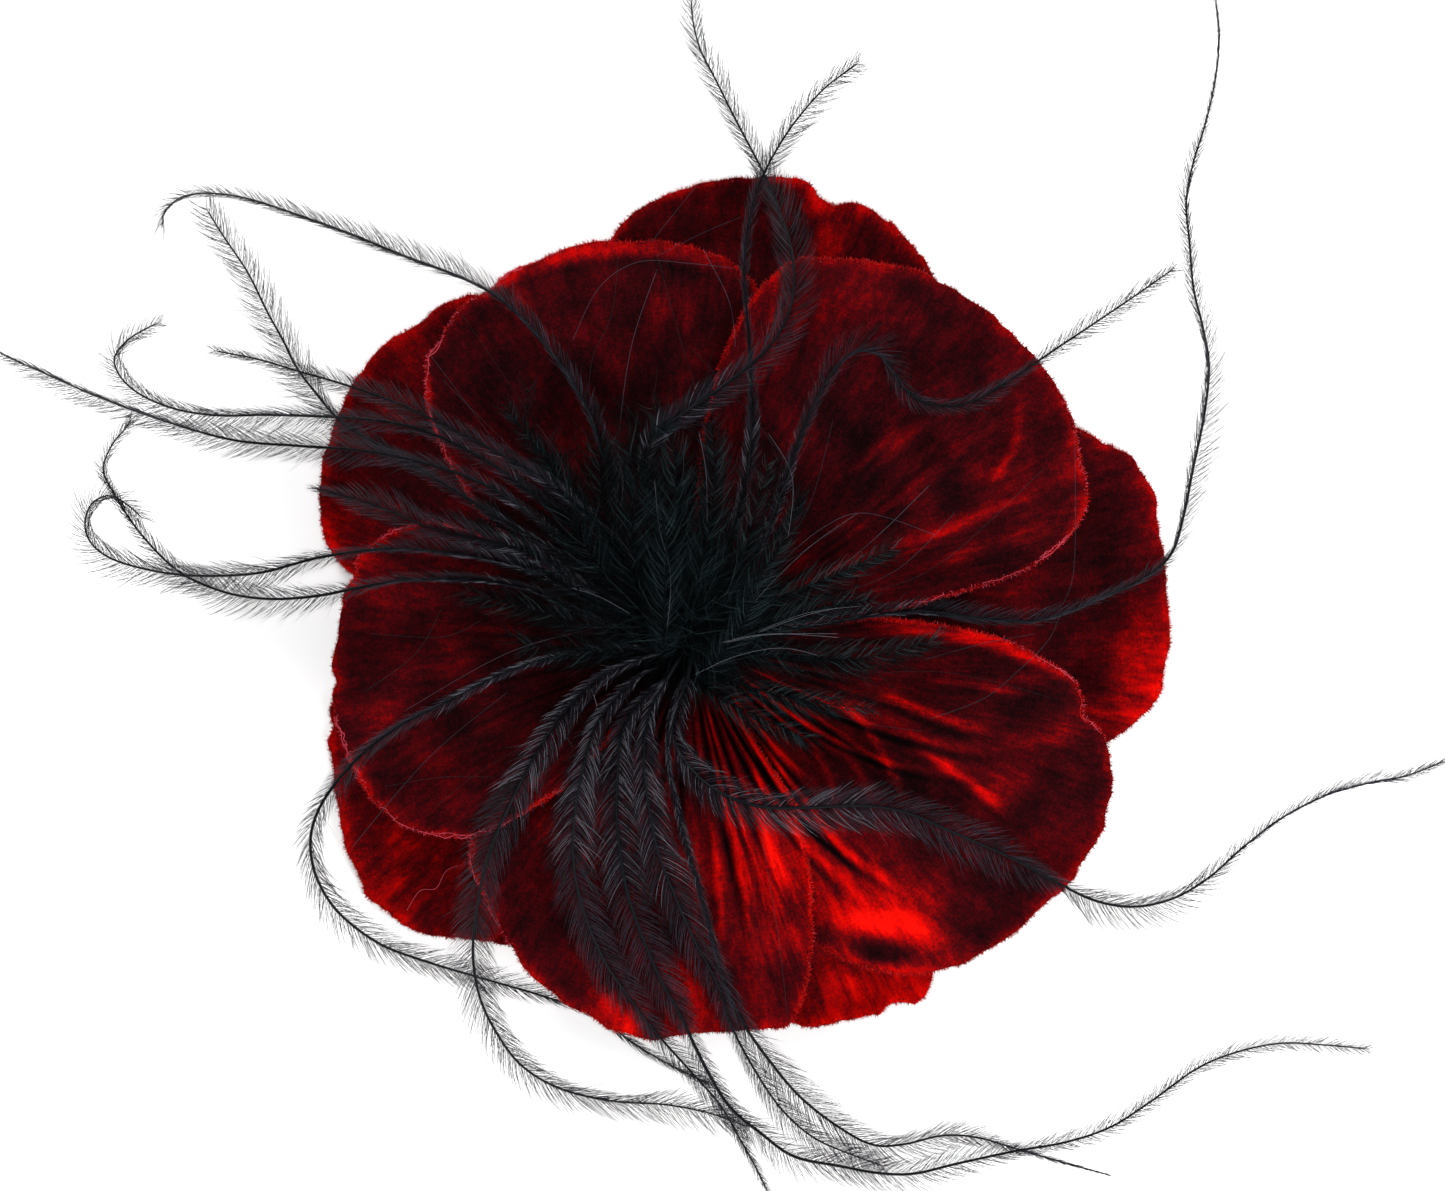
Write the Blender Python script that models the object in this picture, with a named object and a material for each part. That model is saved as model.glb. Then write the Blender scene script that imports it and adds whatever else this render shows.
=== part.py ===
"""Velvet flower fascinator: ten gathered petals, feather tendrils, and a clip-and-brooch back.

Lengths are in millimetres and angles in degrees. +Z points out of the flower's face.
The origin is on the hub's axis, in the plane that the flower rests on.
"""

import math

import bmesh
import bpy
from mathutils import Matrix, Vector

MM = 0.001  # metres in one millimetre
GAP = 0.3  # clearance between pieces that touch on the real object

# Petals: each side of the outline is a list of (angle, radius) about the hub, left to right.
PETAL_THICKNESS = 1.0
PETAL_BASE_RADIUS = 7.0
PETAL_BASE_SPREAD = 84.0
PETAL_COLUMNS = 12
PETAL_ROWS = 7
PINWHEEL_LIFT = 1.3  # rise at 36 degrees from a petal's middle, so that each laps over the next

FRONT_HUB_Z = 21.0
FRONT_RISE = 5.5
BACK_HUB_Z = 16.2
BACK_DROOP_START = 20.0
BACK_RIM_Z = -1.5  # where the droop aims: the hem then lies flat on the resting plane

FRONT_PETALS = {
    "front_petal_1": [(152, 28), (148, 38), (142, 48), (137, 55), (130, 60), (121, 62), (110, 63),
                      (98, 62), (90, 60.3), (83, 57.5), (77, 52), (73, 44), (71, 34)],
    "front_petal_2": [(86, 32), (83, 44), (79, 54), (73, 61), (61, 65.5), (52, 67.5), (42, 68.5),
                      (31, 68), (21, 65), (16, 61), (12, 52), (10, 40), (8, 30)],
    "front_petal_3": [(7, 28), (2, 42), (-2, 52), (-7, 60), (-11, 61.5), (-14, 66), (-20, 68.5),
                      (-28, 69.5), (-37, 68), (-48, 65.5), (-57, 61), (-65, 53), (-71, 44), (-75, 32)],
    "front_petal_4": [(-58, 28), (-63, 40), (-69, 51), (-73, 58), (-77, 61), (-88, 60.3), (-97, 61.4),
                      (-106, 59.5), (-116, 56.5), (-124, 52.5), (-132, 49), (-138, 45), (-144, 34)],
    "front_petal_5": [(153, 32), (156, 44), (164, 51.5), (171, 53), (181, 54.3), (191, 55.4),
                      (201, 55.2), (210, 53.6), (217, 49), (223, 43), (229, 30)],
}
BACK_PETALS = {
    "back_petal_1": [(118, 40), (118, 54), (122, 62.5), (130, 64.8), (138, 65.8), (147, 65),
                     (156, 62.5), (163, 59.5), (168, 55), (172, 46), (174, 34)],
    "back_petal_2": [(111, 38), (108, 52), (104, 60), (98, 66), (91, 69.8), (83, 72), (76, 72.8),
                     (72.5, 70.8), (68, 72.3), (62, 70.5), (56, 67), (50, 56), (46, 40)],
    "back_petal_3": [(38, 38), (35, 54), (31, 65), (25, 71.5), (20, 74.8), (12, 74.7), (2, 74),
                     (-6, 73.3), (-11, 69.5), (-16, 63), (-21, 52), (-25, 38)],
    "back_petal_4": [(-34, 38), (-38, 50), (-44, 58), (-51, 61.5), (-57, 66), (-61.2, 64.6),
                     (-66, 64.2), (-73, 62.4), (-80, 57), (-88, 48), (-94, 36)],
    "back_petal_5": [(182, 36), (184, 47), (189, 55), (196, 58), (205, 60), (214, 63), (221, 63.5),
                     (228, 61), (235, 57.3), (241, 53), (246, 46), (250, 34)],
}

# Backing: discs centred on the hub.
FELT_RADIUS, FELT_Z = 24.0, (10.9, 12.7)
BUCKRAM_RADIUS, BUCKRAM_Z = 20.0, (13.0, 13.8)
PLATE_RADIUS, PLATE_Z = 19.0, (9.0, 9.8)
PLUG_RADIUS, PLUG_Z = 6.5, (14.1, 25.0)

# Alligator clip, along X under the plate.
CLIP_PIN_X, CLIP_PIN_Z, CLIP_PIN_RADIUS = 2.0, 4.2, 0.75
CLIP_PIN_HOLE = 0.95
JAW_TIP_X, LEVER_END_X = -29.0, 20.0
UPPER_JAW_Z = (8.0, 8.7)
UPPER_JAW_WIDTH, LOWER_JAW_WIDTH = 8.0, 5.6
EAR_THICKNESS = 0.7
RIVET_X = (-10.0, 10.0)
RIVET_RADIUS, RIVET_HEAD_RADIUS = 1.0, 1.9
SPRING_WIRE, SPRING_RADIUS, SPRING_TURNS, SPRING_PITCH = 0.5, 1.5, 3.5, 0.75

# Brooch fitting, beside the clip.
BROOCH_Y, NEEDLE_Z = 9.5, 5.6
BAR_LENGTH, BAR_WIDTH, BAR_Z = 29.0, 4.4, (8.1, 8.7)
NEEDLE_HINGE_X, NEEDLE_TIP_X, NEEDLE_WIRE = 12.4, -16.5, 0.8
NEEDLE_EYE_RADIUS, NEEDLE_EYE_PITCH = 1.3, 1.0
HINGE_RIVET_RADIUS = 0.6
CATCH_X, CATCH_LENGTH = -12.6, 2.6
CATCH_RADII, CATCH_OPENING = (0.8, 1.3), 110.0
SLEEVE_RADII, SLEEVE_OPENING, SLEEVE_LENGTH = (1.6, 2.15), 120.0, 1.9

# Feather bundle above the plug.
BUNDLE_X, BUNDLE_Y = -1.5, 0.3
ROOT_Z, ROOT_RADII = 25.4, {"inner": 2.5, "outer": 4.3}
SHAFT_ROOT, SHAFT_TIP = 0.7, 0.24  # diameters of a feather's shaft
SHAFT_POINTS = 17
THREAD_WIRE, THREAD_RADIUS, THREAD_TURNS, THREAD_PITCH = 0.7, 5.5, 2.5, 0.8
TUFT_RADIUS, TUFT_Z = 15.0, (34.0, 44.0)
QUILL_RADIUS = 0.9

# Feathers: (root ring, root angle, height over the petals, height at the tip, route in X and Y).
FEATHERS = {
    "feather_01": ("outer", 105, 34.0, 30.0, [
        (-6, 8), (-9.5, 18), (-13, 28), (-16, 36), (-20.5, 43), (-25.5, 49), (-30, 53), (-36, 56),
        (-44, 59), (-52, 62.3), (-60, 65.2), (-68, 67.8), (-74, 68.6), (-78, 68), (-80.5, 66), (-81, 64)]),
    "feather_02": ("inner", 150, 33.4, 26.0, [
        (-9, 6), (-17, 11.5), (-27, 17.5), (-37, 23.5), (-46, 29), (-53, 33), (-57.5, 38), (-60.5, 42),
        (-62.5, 46), (-65, 50.5), (-68, 56.5), (-72, 62.5), (-74.5, 66.5)]),
    "feather_03": ("outer", 137, 35.5, 38.0, [
        (-8.5, 8.5), (-16, 16), (-24, 22.5), (-32, 28), (-38, 31), (-44, 33), (-50, 33.9), (-57, 34.3),
        (-65, 34.5), (-72, 34.4), (-78, 35.2), (-83, 37), (-86.2, 39.2), (-87.8, 41.5), (-88, 43.5),
        (-86, 46), (-83, 47.8), (-81, 48.7)]),
    "feather_04": ("outer", 159, 36.4, 25.0, [
        (-8.5, 5.5), (-15, 11.5), (-20, 15.8), (-24.6, 19.5), (-31.3, 23.8), (-40, 27), (-50, 29),
        (-60, 29.8), (-70, 30.7), (-80.5, 33.6), (-91, 37.4), (-101, 41.8), (-106, 44)]),
    "feather_05": ("inner", 112, 37.0, 35.0, [
        (-7.5, 9.5), (-14, 17.5), (-21, 23.5), (-29, 28.5), (-37, 32.6), (-44, 36), (-50, 38.2),
        (-55, 39.8), (-60, 41.2), (-66, 43), (-73, 44.4)]),
    "feather_06": ("outer", 181, 36.0, 30.0, [
        (-9, 2.8), (-16, 6.5), (-22, 9.7), (-30, 12.1), (-38, 13.5), (-45, 14), (-51, 13.6), (-58, 12.4),
        (-65, 10.5), (-71, 9.9), (-78, 10), (-84, 11), (-89, 12.6), (-92, 15), (-92.9, 18),
        (-91.8, 21), (-89, 22.2), (-86, 20.5), (-84, 18.6)]),
    "feather_07": ("outer", 203, 33.5, 33.0, [
        (-9, 0.8), (-17, 4.2), (-25, 7.8), (-34, 9.2), (-43, 9.2), (-50, 8.2), (-57, 6.8), (-64, 6.3),
        (-70, 7), (-75, 8.7), (-78.5, 10.6), (-82, 13.8), (-85.5, 18), (-88.5, 22.8), (-90, 26.3),
        (-88.6, 30), (-86.7, 32.3), (-85.6, 34)]),
    "feather_08": ("inner", 190, 34.6, 32.0, [
        (-9, 4.2), (-17, 9), (-25, 13.5), (-33, 15.6), (-40, 17.3), (-46, 19.8), (-51, 21.5),
        (-58, 23.4)]),
    "feather_09": ("outer", 225, 35.0, 8.0, [
        (-8.5, -1), (-14, -1.2), (-20, -2.4), (-26, -4), (-32, -6.6), (-38, -9.8), (-44, -12.8),
        (-50, -17.2), (-55, -22.8), (-57.6, -27.5), (-58.3, -32), (-57.2, -37), (-54, -42), (-48, -46.7),
        (-41, -49.5), (-32, -52.3), (-23, -55), (-15, -58), (-8, -63), (-1.5, -66.7), (3.5, -69)]),
    "feather_10": ("inner", 229, 37.5, 12.0, [
        (-8, -3), (-13.5, -5.5), (-18.5, -10), (-23, -16.5), (-27, -24), (-30.8, -32.8), (-32.6, -41),
        (-33.3, -48), (-32.4, -54.5), (-30, -60), (-26, -65.5), (-20, -69.2), (-12, -71.2), (-4, -71.8),
        (3, -73.2), (9, -75.4)]),
    "feather_11": ("outer", 247, 34.5, 22.0, [
        (-7, -5), (-11, -8.5), (-14.4, -13), (-16.2, -19), (-17.6, -26), (-17.9, -33.8), (-16.5, -41),
        (-13.5, -48.5), (-9.7, -54.4), (-5.5, -60), (0.5, -66.8), (4.6, -71.5), (7.5, -76.5), (10, -81),
        (12, -85)]),
    "feather_12": ("outer", 269, 32.5, 22.0, [
        (-5, -7), (-8.5, -10.5), (-10.6, -15), (-11.1, -21), (-11.2, -28), (-10, -37), (-7.9, -44),
        (-4.8, -51.5), (-1.5, -57.5), (2.1, -65), (6, -71.5), (11, -75.8), (16, -79.3), (23, -80.8),
        (29, -81.9), (34.5, -82), (41, -80.5), (50, -78.6), (58, -77.2), (65, -74.8), (71.5, -70.6),
        (78, -66), (84, -63.5), (91, -62.1), (98, -62.4), (104.6, -63)]),
    "feather_13": ("inner", 274, 36.0, 25.0, [
        (-3.8, -6.5), (-6, -10.5), (-7, -15.5), (-6.8, -22), (-5.2, -31.3), (-2.8, -38), (0.5, -45.6),
        (4.1, -52.5), (6.3, -59), (9.7, -65.6), (14, -72), (19, -76.5), (25, -79.2), (30, -81)]),
    "feather_14": ("outer", 291, 33.5, 16.0, [
        (-2, -8), (-3.2, -13), (-3.2, -19), (-2, -25.5), (0.5, -34.9), (2.7, -43), (5, -51.8),
        (8.2, -58.8), (12.5, -65), (17, -70.3), (22.5, -74.7), (28, -77.7), (33, -77.7), (39, -76.4),
        (44.5, -76.8), (50.5, -78.6), (57, -80.5), (64.6, -82.6)]),
    "feather_15": ("inner", 313, 38.0, 26.0, [
        (-0.5, -6.5), (-2, -10.5), (-2.6, -14.5), (0, -19.5), (4.5, -23.2), (10.8, -25.4), (18, -25.6),
        (26, -25.3), (32.8, -26.3), (40.5, -29.5), (48.7, -33.1), (56, -37), (62, -39.9), (68, -40.9),
        (74, -39.7), (79.5, -36.6), (85, -31.8), (91, -27.3), (98, -23.8), (104.6, -21.9),
        (110, -20.9), (116, -18.6)]),
    "feather_16": ("outer", 355, 33.0, 21.0, [
        (6, 0), (12, 1), (20, 2.5), (28, 3.8), (36, 4.4), (44, 3.4), (52, 2.9), (58, 4.3), (64, 6.9),
        (70, 9.7), (74, 13.5), (76, 20), (77.2, 26), (79, 34.4), (79.8, 42), (78.9, 48), (77.5, 54),
        (76.9, 61), (76.4, 67.5), (77.5, 73.5), (79.5, 80), (81, 87), (81.5, 93), (81, 98.5)]),
    "feather_17": ("outer", 35, 34.0, 30.0, [
        (5, 5.5), (8.5, 10), (11.8, 16.5), (14.8, 24.5), (16.8, 31), (19.5, 37), (22.3, 41.7),
        (25.5, 44.2), (28.8, 44), (31.2, 41.2), (33.4, 38), (37, 36.2), (41, 36), (45, 37.4),
        (50, 40.5), (56, 44.6), (62, 48.6), (68.5, 53), (74.5, 57.2)]),
    "feather_18": ("outer", 58, 33.0, 34.0, [
        (2.5, 7), (6, 15), (8.5, 24), (9.4, 32), (9.4, 40), (9, 47), (8.3, 54.5), (8.6, 61),
        (9.8, 67.5), (11.8, 72.5), (15.4, 78.5), (20, 84), (23.6, 86.9), (26.2, 88.7)]),
    "feather_19": ("inner", 70, 36.5, 27.0, [
        (-1, 8), (-4.5, 16), (-7, 24.5), (-5.5, 31), (-1, 34.8), (4, 38.2), (8.2, 41.3), (12, 44.8),
        (15, 49.8), (16, 55), (15.4, 60.5), (13.5, 66.5), (11, 72.3), (7.5, 79), (4, 86), (1.5, 91),
        (0.4, 95.5), (0.2, 98.8)]),
}
BEND_Z = {"inner": 30.4, "outer": 29.0}  # where a shaft stops standing upright and bends out
NEAR_RISE = 1.8  # how much higher it is once clear of the bundle
FEATHER_NEAR_AT, FEATHER_OVER_AT = 9.0, 30.0  # distances along the route


def material(name, colour, roughness, metallic=0.0):
    mat = bpy.data.materials.new(name)
    mat.use_nodes = True
    bsdf = mat.node_tree.nodes["Principled BSDF"]
    bsdf.inputs["Base Color"].default_value = (*colour, 1.0)
    bsdf.inputs["Roughness"].default_value = roughness
    bsdf.inputs["Metallic"].default_value = metallic
    mat.diffuse_color = (*colour, 1.0)
    return mat


def smoothstep(value):
    value = min(max(value, 0.0), 1.0)
    return value * value * (3.0 - 2.0 * value)


def polar(angle, radius, z=0.0):
    turn = math.radians(angle)
    return Vector((radius * math.cos(turn), radius * math.sin(turn), z))


def catmull(points, count):
    """Evenly numbered points on a smooth curve through the given ones."""
    spans = len(points) - 1
    curve = []
    for step in range(count):
        place = spans * step / (count - 1)
        span = min(int(place), spans - 1)
        t = place - span
        before, start, end, after = (
            Vector(points[min(max(span + offset, 0), spans)]) for offset in (-1, 0, 1, 2)
        )
        curve.append(
            0.5 * (2 * start + (end - before) * t + (2 * before - 5 * start + 4 * end - after) * t**2
                   + (3 * start - before - 3 * end + after) * t**3)
        )
    return curve


def add_mesh(name, bm, mat, smooth_below=None):
    bmesh.ops.recalc_face_normals(bm, faces=bm.faces)
    for vert in bm.verts:
        vert.co *= MM
    mesh = bpy.data.meshes.new(name)
    bm.to_mesh(mesh)
    bm.free()
    mesh.materials.append(mat)
    if smooth_below is not None:
        mesh.shade_smooth()
        mesh.set_sharp_from_angle(angle=math.radians(smooth_below))
    obj = bpy.data.objects.new(name, mesh)
    bpy.context.scene.collection.objects.link(obj)
    return obj


def wire(name, points, diameter, mat, sides=6, taper_to=None):
    """A round wire along the points, closed at both ends, thinning to taper_to."""
    curve = bpy.data.curves.new(name, "CURVE")
    curve.dimensions = "3D"
    curve.bevel_depth = diameter / 2 * MM
    curve.bevel_resolution = (sides - 4) // 2
    curve.use_fill_caps = True
    spline = curve.splines.new("POLY")
    spline.points.add(len(points) - 1)
    for index, (point, place) in enumerate(zip(spline.points, points)):
        share = index / (len(points) - 1)
        point.co = (*(Vector(place) * MM), 1.0)
        point.radius = 1.0 if taper_to is None else 1.0 + (taper_to / diameter - 1.0) * share
    curve.materials.append(mat)
    obj = bpy.data.objects.new(name, curve)
    bpy.context.scene.collection.objects.link(obj)
    return obj


def extruded(outline, lift):
    """A bmesh prism: the outline's points, carried along the lift vector."""
    bm = bmesh.new()
    face = bm.faces.new([bm.verts.new(point) for point in outline])
    carried = bmesh.ops.extrude_face_region(bm, geom=[face])["geom"]
    bmesh.ops.translate(bm, vec=lift, verts=[v for v in carried if isinstance(v, bmesh.types.BMVert)])
    return bm


def turned(profile, centre=(0.0, 0.0), segments=32):
    """A bmesh solid turned about a vertical axis, from (radius, z) points listed bottom to top."""
    bm = bmesh.new()
    rings = []
    for radius, z in profile:
        angles = [360.0 * step / segments for step in range(segments)]
        rings.append([bm.verts.new(polar(a, radius, z) + Vector((*centre, 0.0))) for a in angles])
    for low, high in zip(rings, rings[1:]):
        for step in range(segments):
            after = (step + 1) % segments
            bm.faces.new((low[step], low[after], high[after], high[step]))
    bm.faces.new(rings[0])
    bm.faces.new(rings[-1])
    return bm


def box(low, high):
    outline = [(low[0], low[1], low[2]), (high[0], low[1], low[2]),
               (high[0], high[1], low[2]), (low[0], high[1], low[2])]
    return extruded(outline, Vector((0, 0, high[2] - low[2])))


def rod(centre, axis, radius, length, segments=24):
    """A bmesh cylinder along axis "x", "y" or "z", centred on the point."""
    bm = bmesh.new()
    bmesh.ops.create_cone(bm, cap_ends=True, segments=segments, radius1=radius, radius2=radius, depth=length)
    turn_axis, turn = {"x": ("Y", 90.0), "y": ("X", 90.0), "z": ("Z", 0.0)}[axis]
    bmesh.ops.transform(bm, matrix=Matrix.Rotation(math.radians(turn), 4, turn_axis), verts=bm.verts)
    bmesh.ops.translate(bm, vec=Vector(centre), verts=bm.verts)
    return bm


def helper(name, bm):
    """A hidden solid, used only to join to or cut from another."""
    obj = add_mesh(name, bm, bpy.data.materials["helper"])
    obj.hide_render = True
    obj.display_type = "WIRE"
    return obj


def combine(obj, operation, bm):
    modifier = obj.modifiers.new(operation.title(), "BOOLEAN")
    modifier.operation = operation
    modifier.object = helper(f"{obj.name}_{operation.lower()}_{len(obj.modifiers)}", bm)


# ---- the velvet petals ----


def rim_and_base(outline):
    """Matching points along a petal's free edge and along its gathered base, left to right."""
    rim = catmull([polar(*point) for point in outline], PETAL_COLUMNS)
    middle = (outline[0][0] + outline[-1][0]) / 2
    base = []
    for column in range(PETAL_COLUMNS):
        side = 0.5 - column / (PETAL_COLUMNS - 1)
        angle = middle + side * PETAL_BASE_SPREAD * math.copysign(1.0, outline[0][0] - outline[-1][0])
        base.append(polar(angle, PETAL_BASE_RADIUS))
    return rim, base, middle


def front_height(radius, angle):
    cup = FRONT_HUB_Z + FRONT_RISE * smoothstep((radius - 8) / 42) - 1.6 * smoothstep((radius - 56) / 12)
    return cup + 0.7 * smoothstep((radius - 20) / 30) * math.sin(math.radians(5 * angle + 40))


def back_height(reach):
    def height(radius, _angle):
        share = smoothstep((radius - BACK_DROOP_START) / (reach - BACK_DROOP_START))
        return BACK_HUB_Z + (BACK_RIM_Z - BACK_HUB_Z) * share

    return height


def petal(name, outline, height, mat):
    """A gathered petal: straight pleat lines from the base to the edge, at one even thickness."""
    rim, base, middle = rim_and_base(outline)
    half = PETAL_THICKNESS / 2
    bm = bmesh.new()
    top, under = [], []
    for row in range(PETAL_ROWS):
        share = row / (PETAL_ROWS - 1)
        for start, end in zip(base, rim):
            place = start.lerp(end, share)
            angle = math.degrees(math.atan2(place.y, place.x))
            lean = (angle - middle + 180) % 360 - 180
            level = height(place.length, angle) + PINWHEEL_LIFT * lean / 36
            level = max(level, half)
            top.append(bm.verts.new((place.x, place.y, level + half)))
            under.append(bm.verts.new((place.x, place.y, level - half)))
    for layer in (top, under):
        for row in range(PETAL_ROWS - 1):
            for column in range(PETAL_COLUMNS - 1):
                corner = row * PETAL_COLUMNS + column
                across = corner + PETAL_COLUMNS
                bm.faces.new((layer[corner], layer[corner + 1], layer[across + 1], layer[across]))
    last = (PETAL_ROWS - 1) * PETAL_COLUMNS
    edge = list(range(PETAL_COLUMNS))
    edge += [row * PETAL_COLUMNS + PETAL_COLUMNS - 1 for row in range(1, PETAL_ROWS)]
    edge += [last + column for column in range(PETAL_COLUMNS - 2, -1, -1)]
    edge += [row * PETAL_COLUMNS for row in range(PETAL_ROWS - 2, 0, -1)]
    for here, after in zip(edge, edge[1:] + edge[:1]):
        bm.faces.new((top[here], top[after], under[after], under[here]))
    return add_mesh(name, bm, mat, smooth_below=50)


def petals():
    front = material("velvet_front", (0.30, 0.004, 0.012), 0.85)
    back = material("velvet_back", (0.24, 0.003, 0.012), 0.85)
    for name, outline in FRONT_PETALS.items():
        petal(name, outline, front_height, front)
    for name, outline in BACK_PETALS.items():
        reach = max(radius for _, radius in outline)
        petal(name, outline, back_height(reach), back)


# ---- the backing ----


def backing():
    felt = material("felt", (0.012, 0.012, 0.014), 0.95)
    buckram = material("buckram", (0.05, 0.008, 0.012), 0.8)
    glue = material("glue", (0.05, 0.045, 0.04), 0.35)
    steel = material("plate_steel", (0.62, 0.62, 0.64), 0.3, 1.0)
    for name, radius, (low, high), mat in (
        ("felt_backing", FELT_RADIUS, FELT_Z, felt),
        ("buckram_disc", BUCKRAM_RADIUS, BUCKRAM_Z, buckram),
        ("glue_plug", PLUG_RADIUS, PLUG_Z, glue),
        ("base_plate", PLATE_RADIUS, PLATE_Z, steel),
    ):
        soft = min(0.4, (high - low) / 4)
        profile = [(radius - soft, low), (radius, low + soft), (radius, high - soft), (radius - soft, high)]
        disc = add_mesh(name, turned(profile, segments=40 if radius > 10 else 24), mat, smooth_below=30)
        if name == "base_plate":
            for x in RIVET_X:
                combine(disc, "DIFFERENCE", rod((x, 0, (low + high) / 2), "z", RIVET_RADIUS + GAP, 4))


# ---- the alligator clip ----


def clip_rivets(steel):
    for name, x in zip(("clip_rivet_front", "clip_rivet_back"), RIVET_X):
        under, over = UPPER_JAW_Z[0] - GAP, PLATE_Z[1] + GAP
        profile = [(RIVET_HEAD_RADIUS - 0.5, under - 0.6), (RIVET_HEAD_RADIUS, under - 0.25),
                   (RIVET_HEAD_RADIUS, under), (RIVET_RADIUS, under), (RIVET_RADIUS, over),
                   (RIVET_HEAD_RADIUS, over), (RIVET_HEAD_RADIUS - 0.3, over + 0.45)]
        add_mesh(name, turned(profile, centre=(x, 0), segments=16), steel, smooth_below=40)


def ears(jaw, width, low, high, near, far):
    """The pair of ears that carry the clip's pin, joined to a jaw of this outer width."""
    for side in (-1, 1):
        inner = side * (width / 2 - EAR_THICKNESS)
        outer = side * width / 2
        combine(jaw, "UNION", box((near, min(inner, outer), low), (far, max(inner, outer), high)))
    combine(jaw, "DIFFERENCE", rod((CLIP_PIN_X, 0, CLIP_PIN_Z), "y", CLIP_PIN_HOLE, width + 2))


def upper_jaw(steel):
    half = UPPER_JAW_WIDTH / 2
    low, high = UPPER_JAW_Z
    nose = [(JAW_TIP_X, -half + 1.5, low), (JAW_TIP_X + 1.5, -half, low), (LEVER_END_X - 1.5, -half, low),
            (LEVER_END_X, -half + 1.5, low), (LEVER_END_X, half - 1.5, low), (LEVER_END_X - 1.5, half, low),
            (JAW_TIP_X + 1.5, half, low), (JAW_TIP_X, half - 1.5, low)]
    jaw = add_mesh("clip_upper_jaw", extruded(nose, Vector((0, 0, high - low))), steel, smooth_below=30)
    ears(jaw, UPPER_JAW_WIDTH, 2.6, low + 0.3, CLIP_PIN_X - 4, CLIP_PIN_X + 4)
    for x in RIVET_X:
        combine(jaw, "DIFFERENCE", rod((x, 0, (low + high) / 2), "z", RIVET_RADIUS + GAP, 4))


def lower_jaw(steel):
    """The sprung jaw: a flat lever, a rising jaw, and a toothed lip that meets the upper jaw."""
    lip = UPPER_JAW_Z[0] - GAP
    thick = 0.8
    side = [(LEVER_END_X, 0), (-5, 0), (-24.6, lip - 1.4), (JAW_TIP_X, lip - thick)]
    teeth = 3
    tooth_length = (JAW_TIP_X + 25.4) / teeth
    for tooth in range(teeth):
        peak = JAW_TIP_X - tooth * tooth_length
        side += [(peak, lip), (peak - tooth_length / 2, lip - 0.4)]
    side += [(-25.4, lip - 0.2), (-24.6, lip - 0.5), (-5.2, thick), (LEVER_END_X, thick)]
    half = LOWER_JAW_WIDTH / 2
    outline = [(x, -half, z) for x, z in side]
    jaw = add_mesh("clip_lower_jaw", extruded(outline, Vector((0, 2 * half, 0))), steel, smooth_below=30)
    combine(jaw, "UNION", box((11.0, -4.0, 0.0), (LEVER_END_X - 0.4, 4.0, thick)))
    ears(jaw, LOWER_JAW_WIDTH, 0.4, 5.8, CLIP_PIN_X - 3, CLIP_PIN_X + 3)


def clip_pin(steel):
    length = UPPER_JAW_WIDTH + 1.0
    pin = rod((CLIP_PIN_X, 0, CLIP_PIN_Z), "y", CLIP_PIN_RADIUS, length, segments=16)
    add_mesh("clip_pin", pin, steel, smooth_below=40)


def clip_spring(steel):
    """A torsion spring: one leg under the upper jaw, the coil on the pin, one leg on the lever."""
    per_turn = 10
    steps = int(SPRING_TURNS * per_turn)
    start_y = SPRING_TURNS * SPRING_PITCH / 2
    points = [(7.4, start_y, UPPER_JAW_Z[0] - 0.6), (4.6, start_y, 6.6)]
    for step in range(steps + 1):
        turn = math.radians(90.0 + 360.0 * step / per_turn)
        points.append((CLIP_PIN_X + SPRING_RADIUS * math.cos(turn),
                       start_y - SPRING_PITCH * step / per_turn,
                       CLIP_PIN_Z + SPRING_RADIUS * math.sin(turn)))
    points += [(6.0, -start_y, 1.9), (12.0, -start_y, 1.35)]
    wire("clip_spring", points, SPRING_WIRE, steel)


def clip():
    steel = material("clip_steel", (0.66, 0.66, 0.68), 0.28, 1.0)
    spring_steel = material("spring_steel", (0.45, 0.45, 0.47), 0.35, 1.0)
    upper_jaw(steel)
    lower_jaw(steel)
    clip_pin(spring_steel)
    clip_spring(spring_steel)
    clip_rivets(steel)


# ---- the brooch fitting ----


def arc_band(centre_y, centre_z, radii, opening, x, length, segments):
    """A bmesh tube along X with a slot of this many degrees left open at the bottom."""
    inner, outer = radii
    turns = [math.radians(-90 + opening / 2 + (360 - opening) * step / segments) for step in range(segments + 1)]
    outline = [(x, centre_y + outer * math.cos(t), centre_z + outer * math.sin(t)) for t in turns]
    outline += [(x, centre_y + inner * math.cos(t), centre_z + inner * math.sin(t)) for t in reversed(turns)]
    return extruded(outline, Vector((length, 0, 0)))


def brooch_bar(steel):
    low, high = BAR_Z
    half = BAR_WIDTH / 2
    ends = []
    for end in (1, -1):
        for step in range(7):
            offset = polar(-90 * end + 30 * step, half)
            ends.append((end * (BAR_LENGTH / 2 - half) + offset.x, BROOCH_Y + offset.y, low))
    add_mesh("brooch_bar", extruded(ends, Vector((0, 0, high - low))), steel, smooth_below=40)


def hinge_bracket(steel):
    """An upturned U under the bar, whose two lugs hold the needle's rivet."""
    top = BAR_Z[0] - GAP
    x = NEEDLE_HINGE_X - 1.8
    outer, thick = 2.0, 0.5
    outline = [(-outer, 3.9), (-outer, top), (outer, top), (outer, 3.9),
               (outer - thick, 3.9), (outer - thick, top - thick), (thick - outer, top - thick), (thick - outer, 3.9)]
    points = [(x, BROOCH_Y + y, z) for y, z in outline]
    bracket = add_mesh("hinge_bracket", extruded(points, Vector((3.6, 0, 0))), steel, smooth_below=30)
    combine(bracket, "DIFFERENCE", rod((NEEDLE_HINGE_X, BROOCH_Y, NEEDLE_Z), "y", HINGE_RIVET_RADIUS + 0.2, 8))


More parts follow.
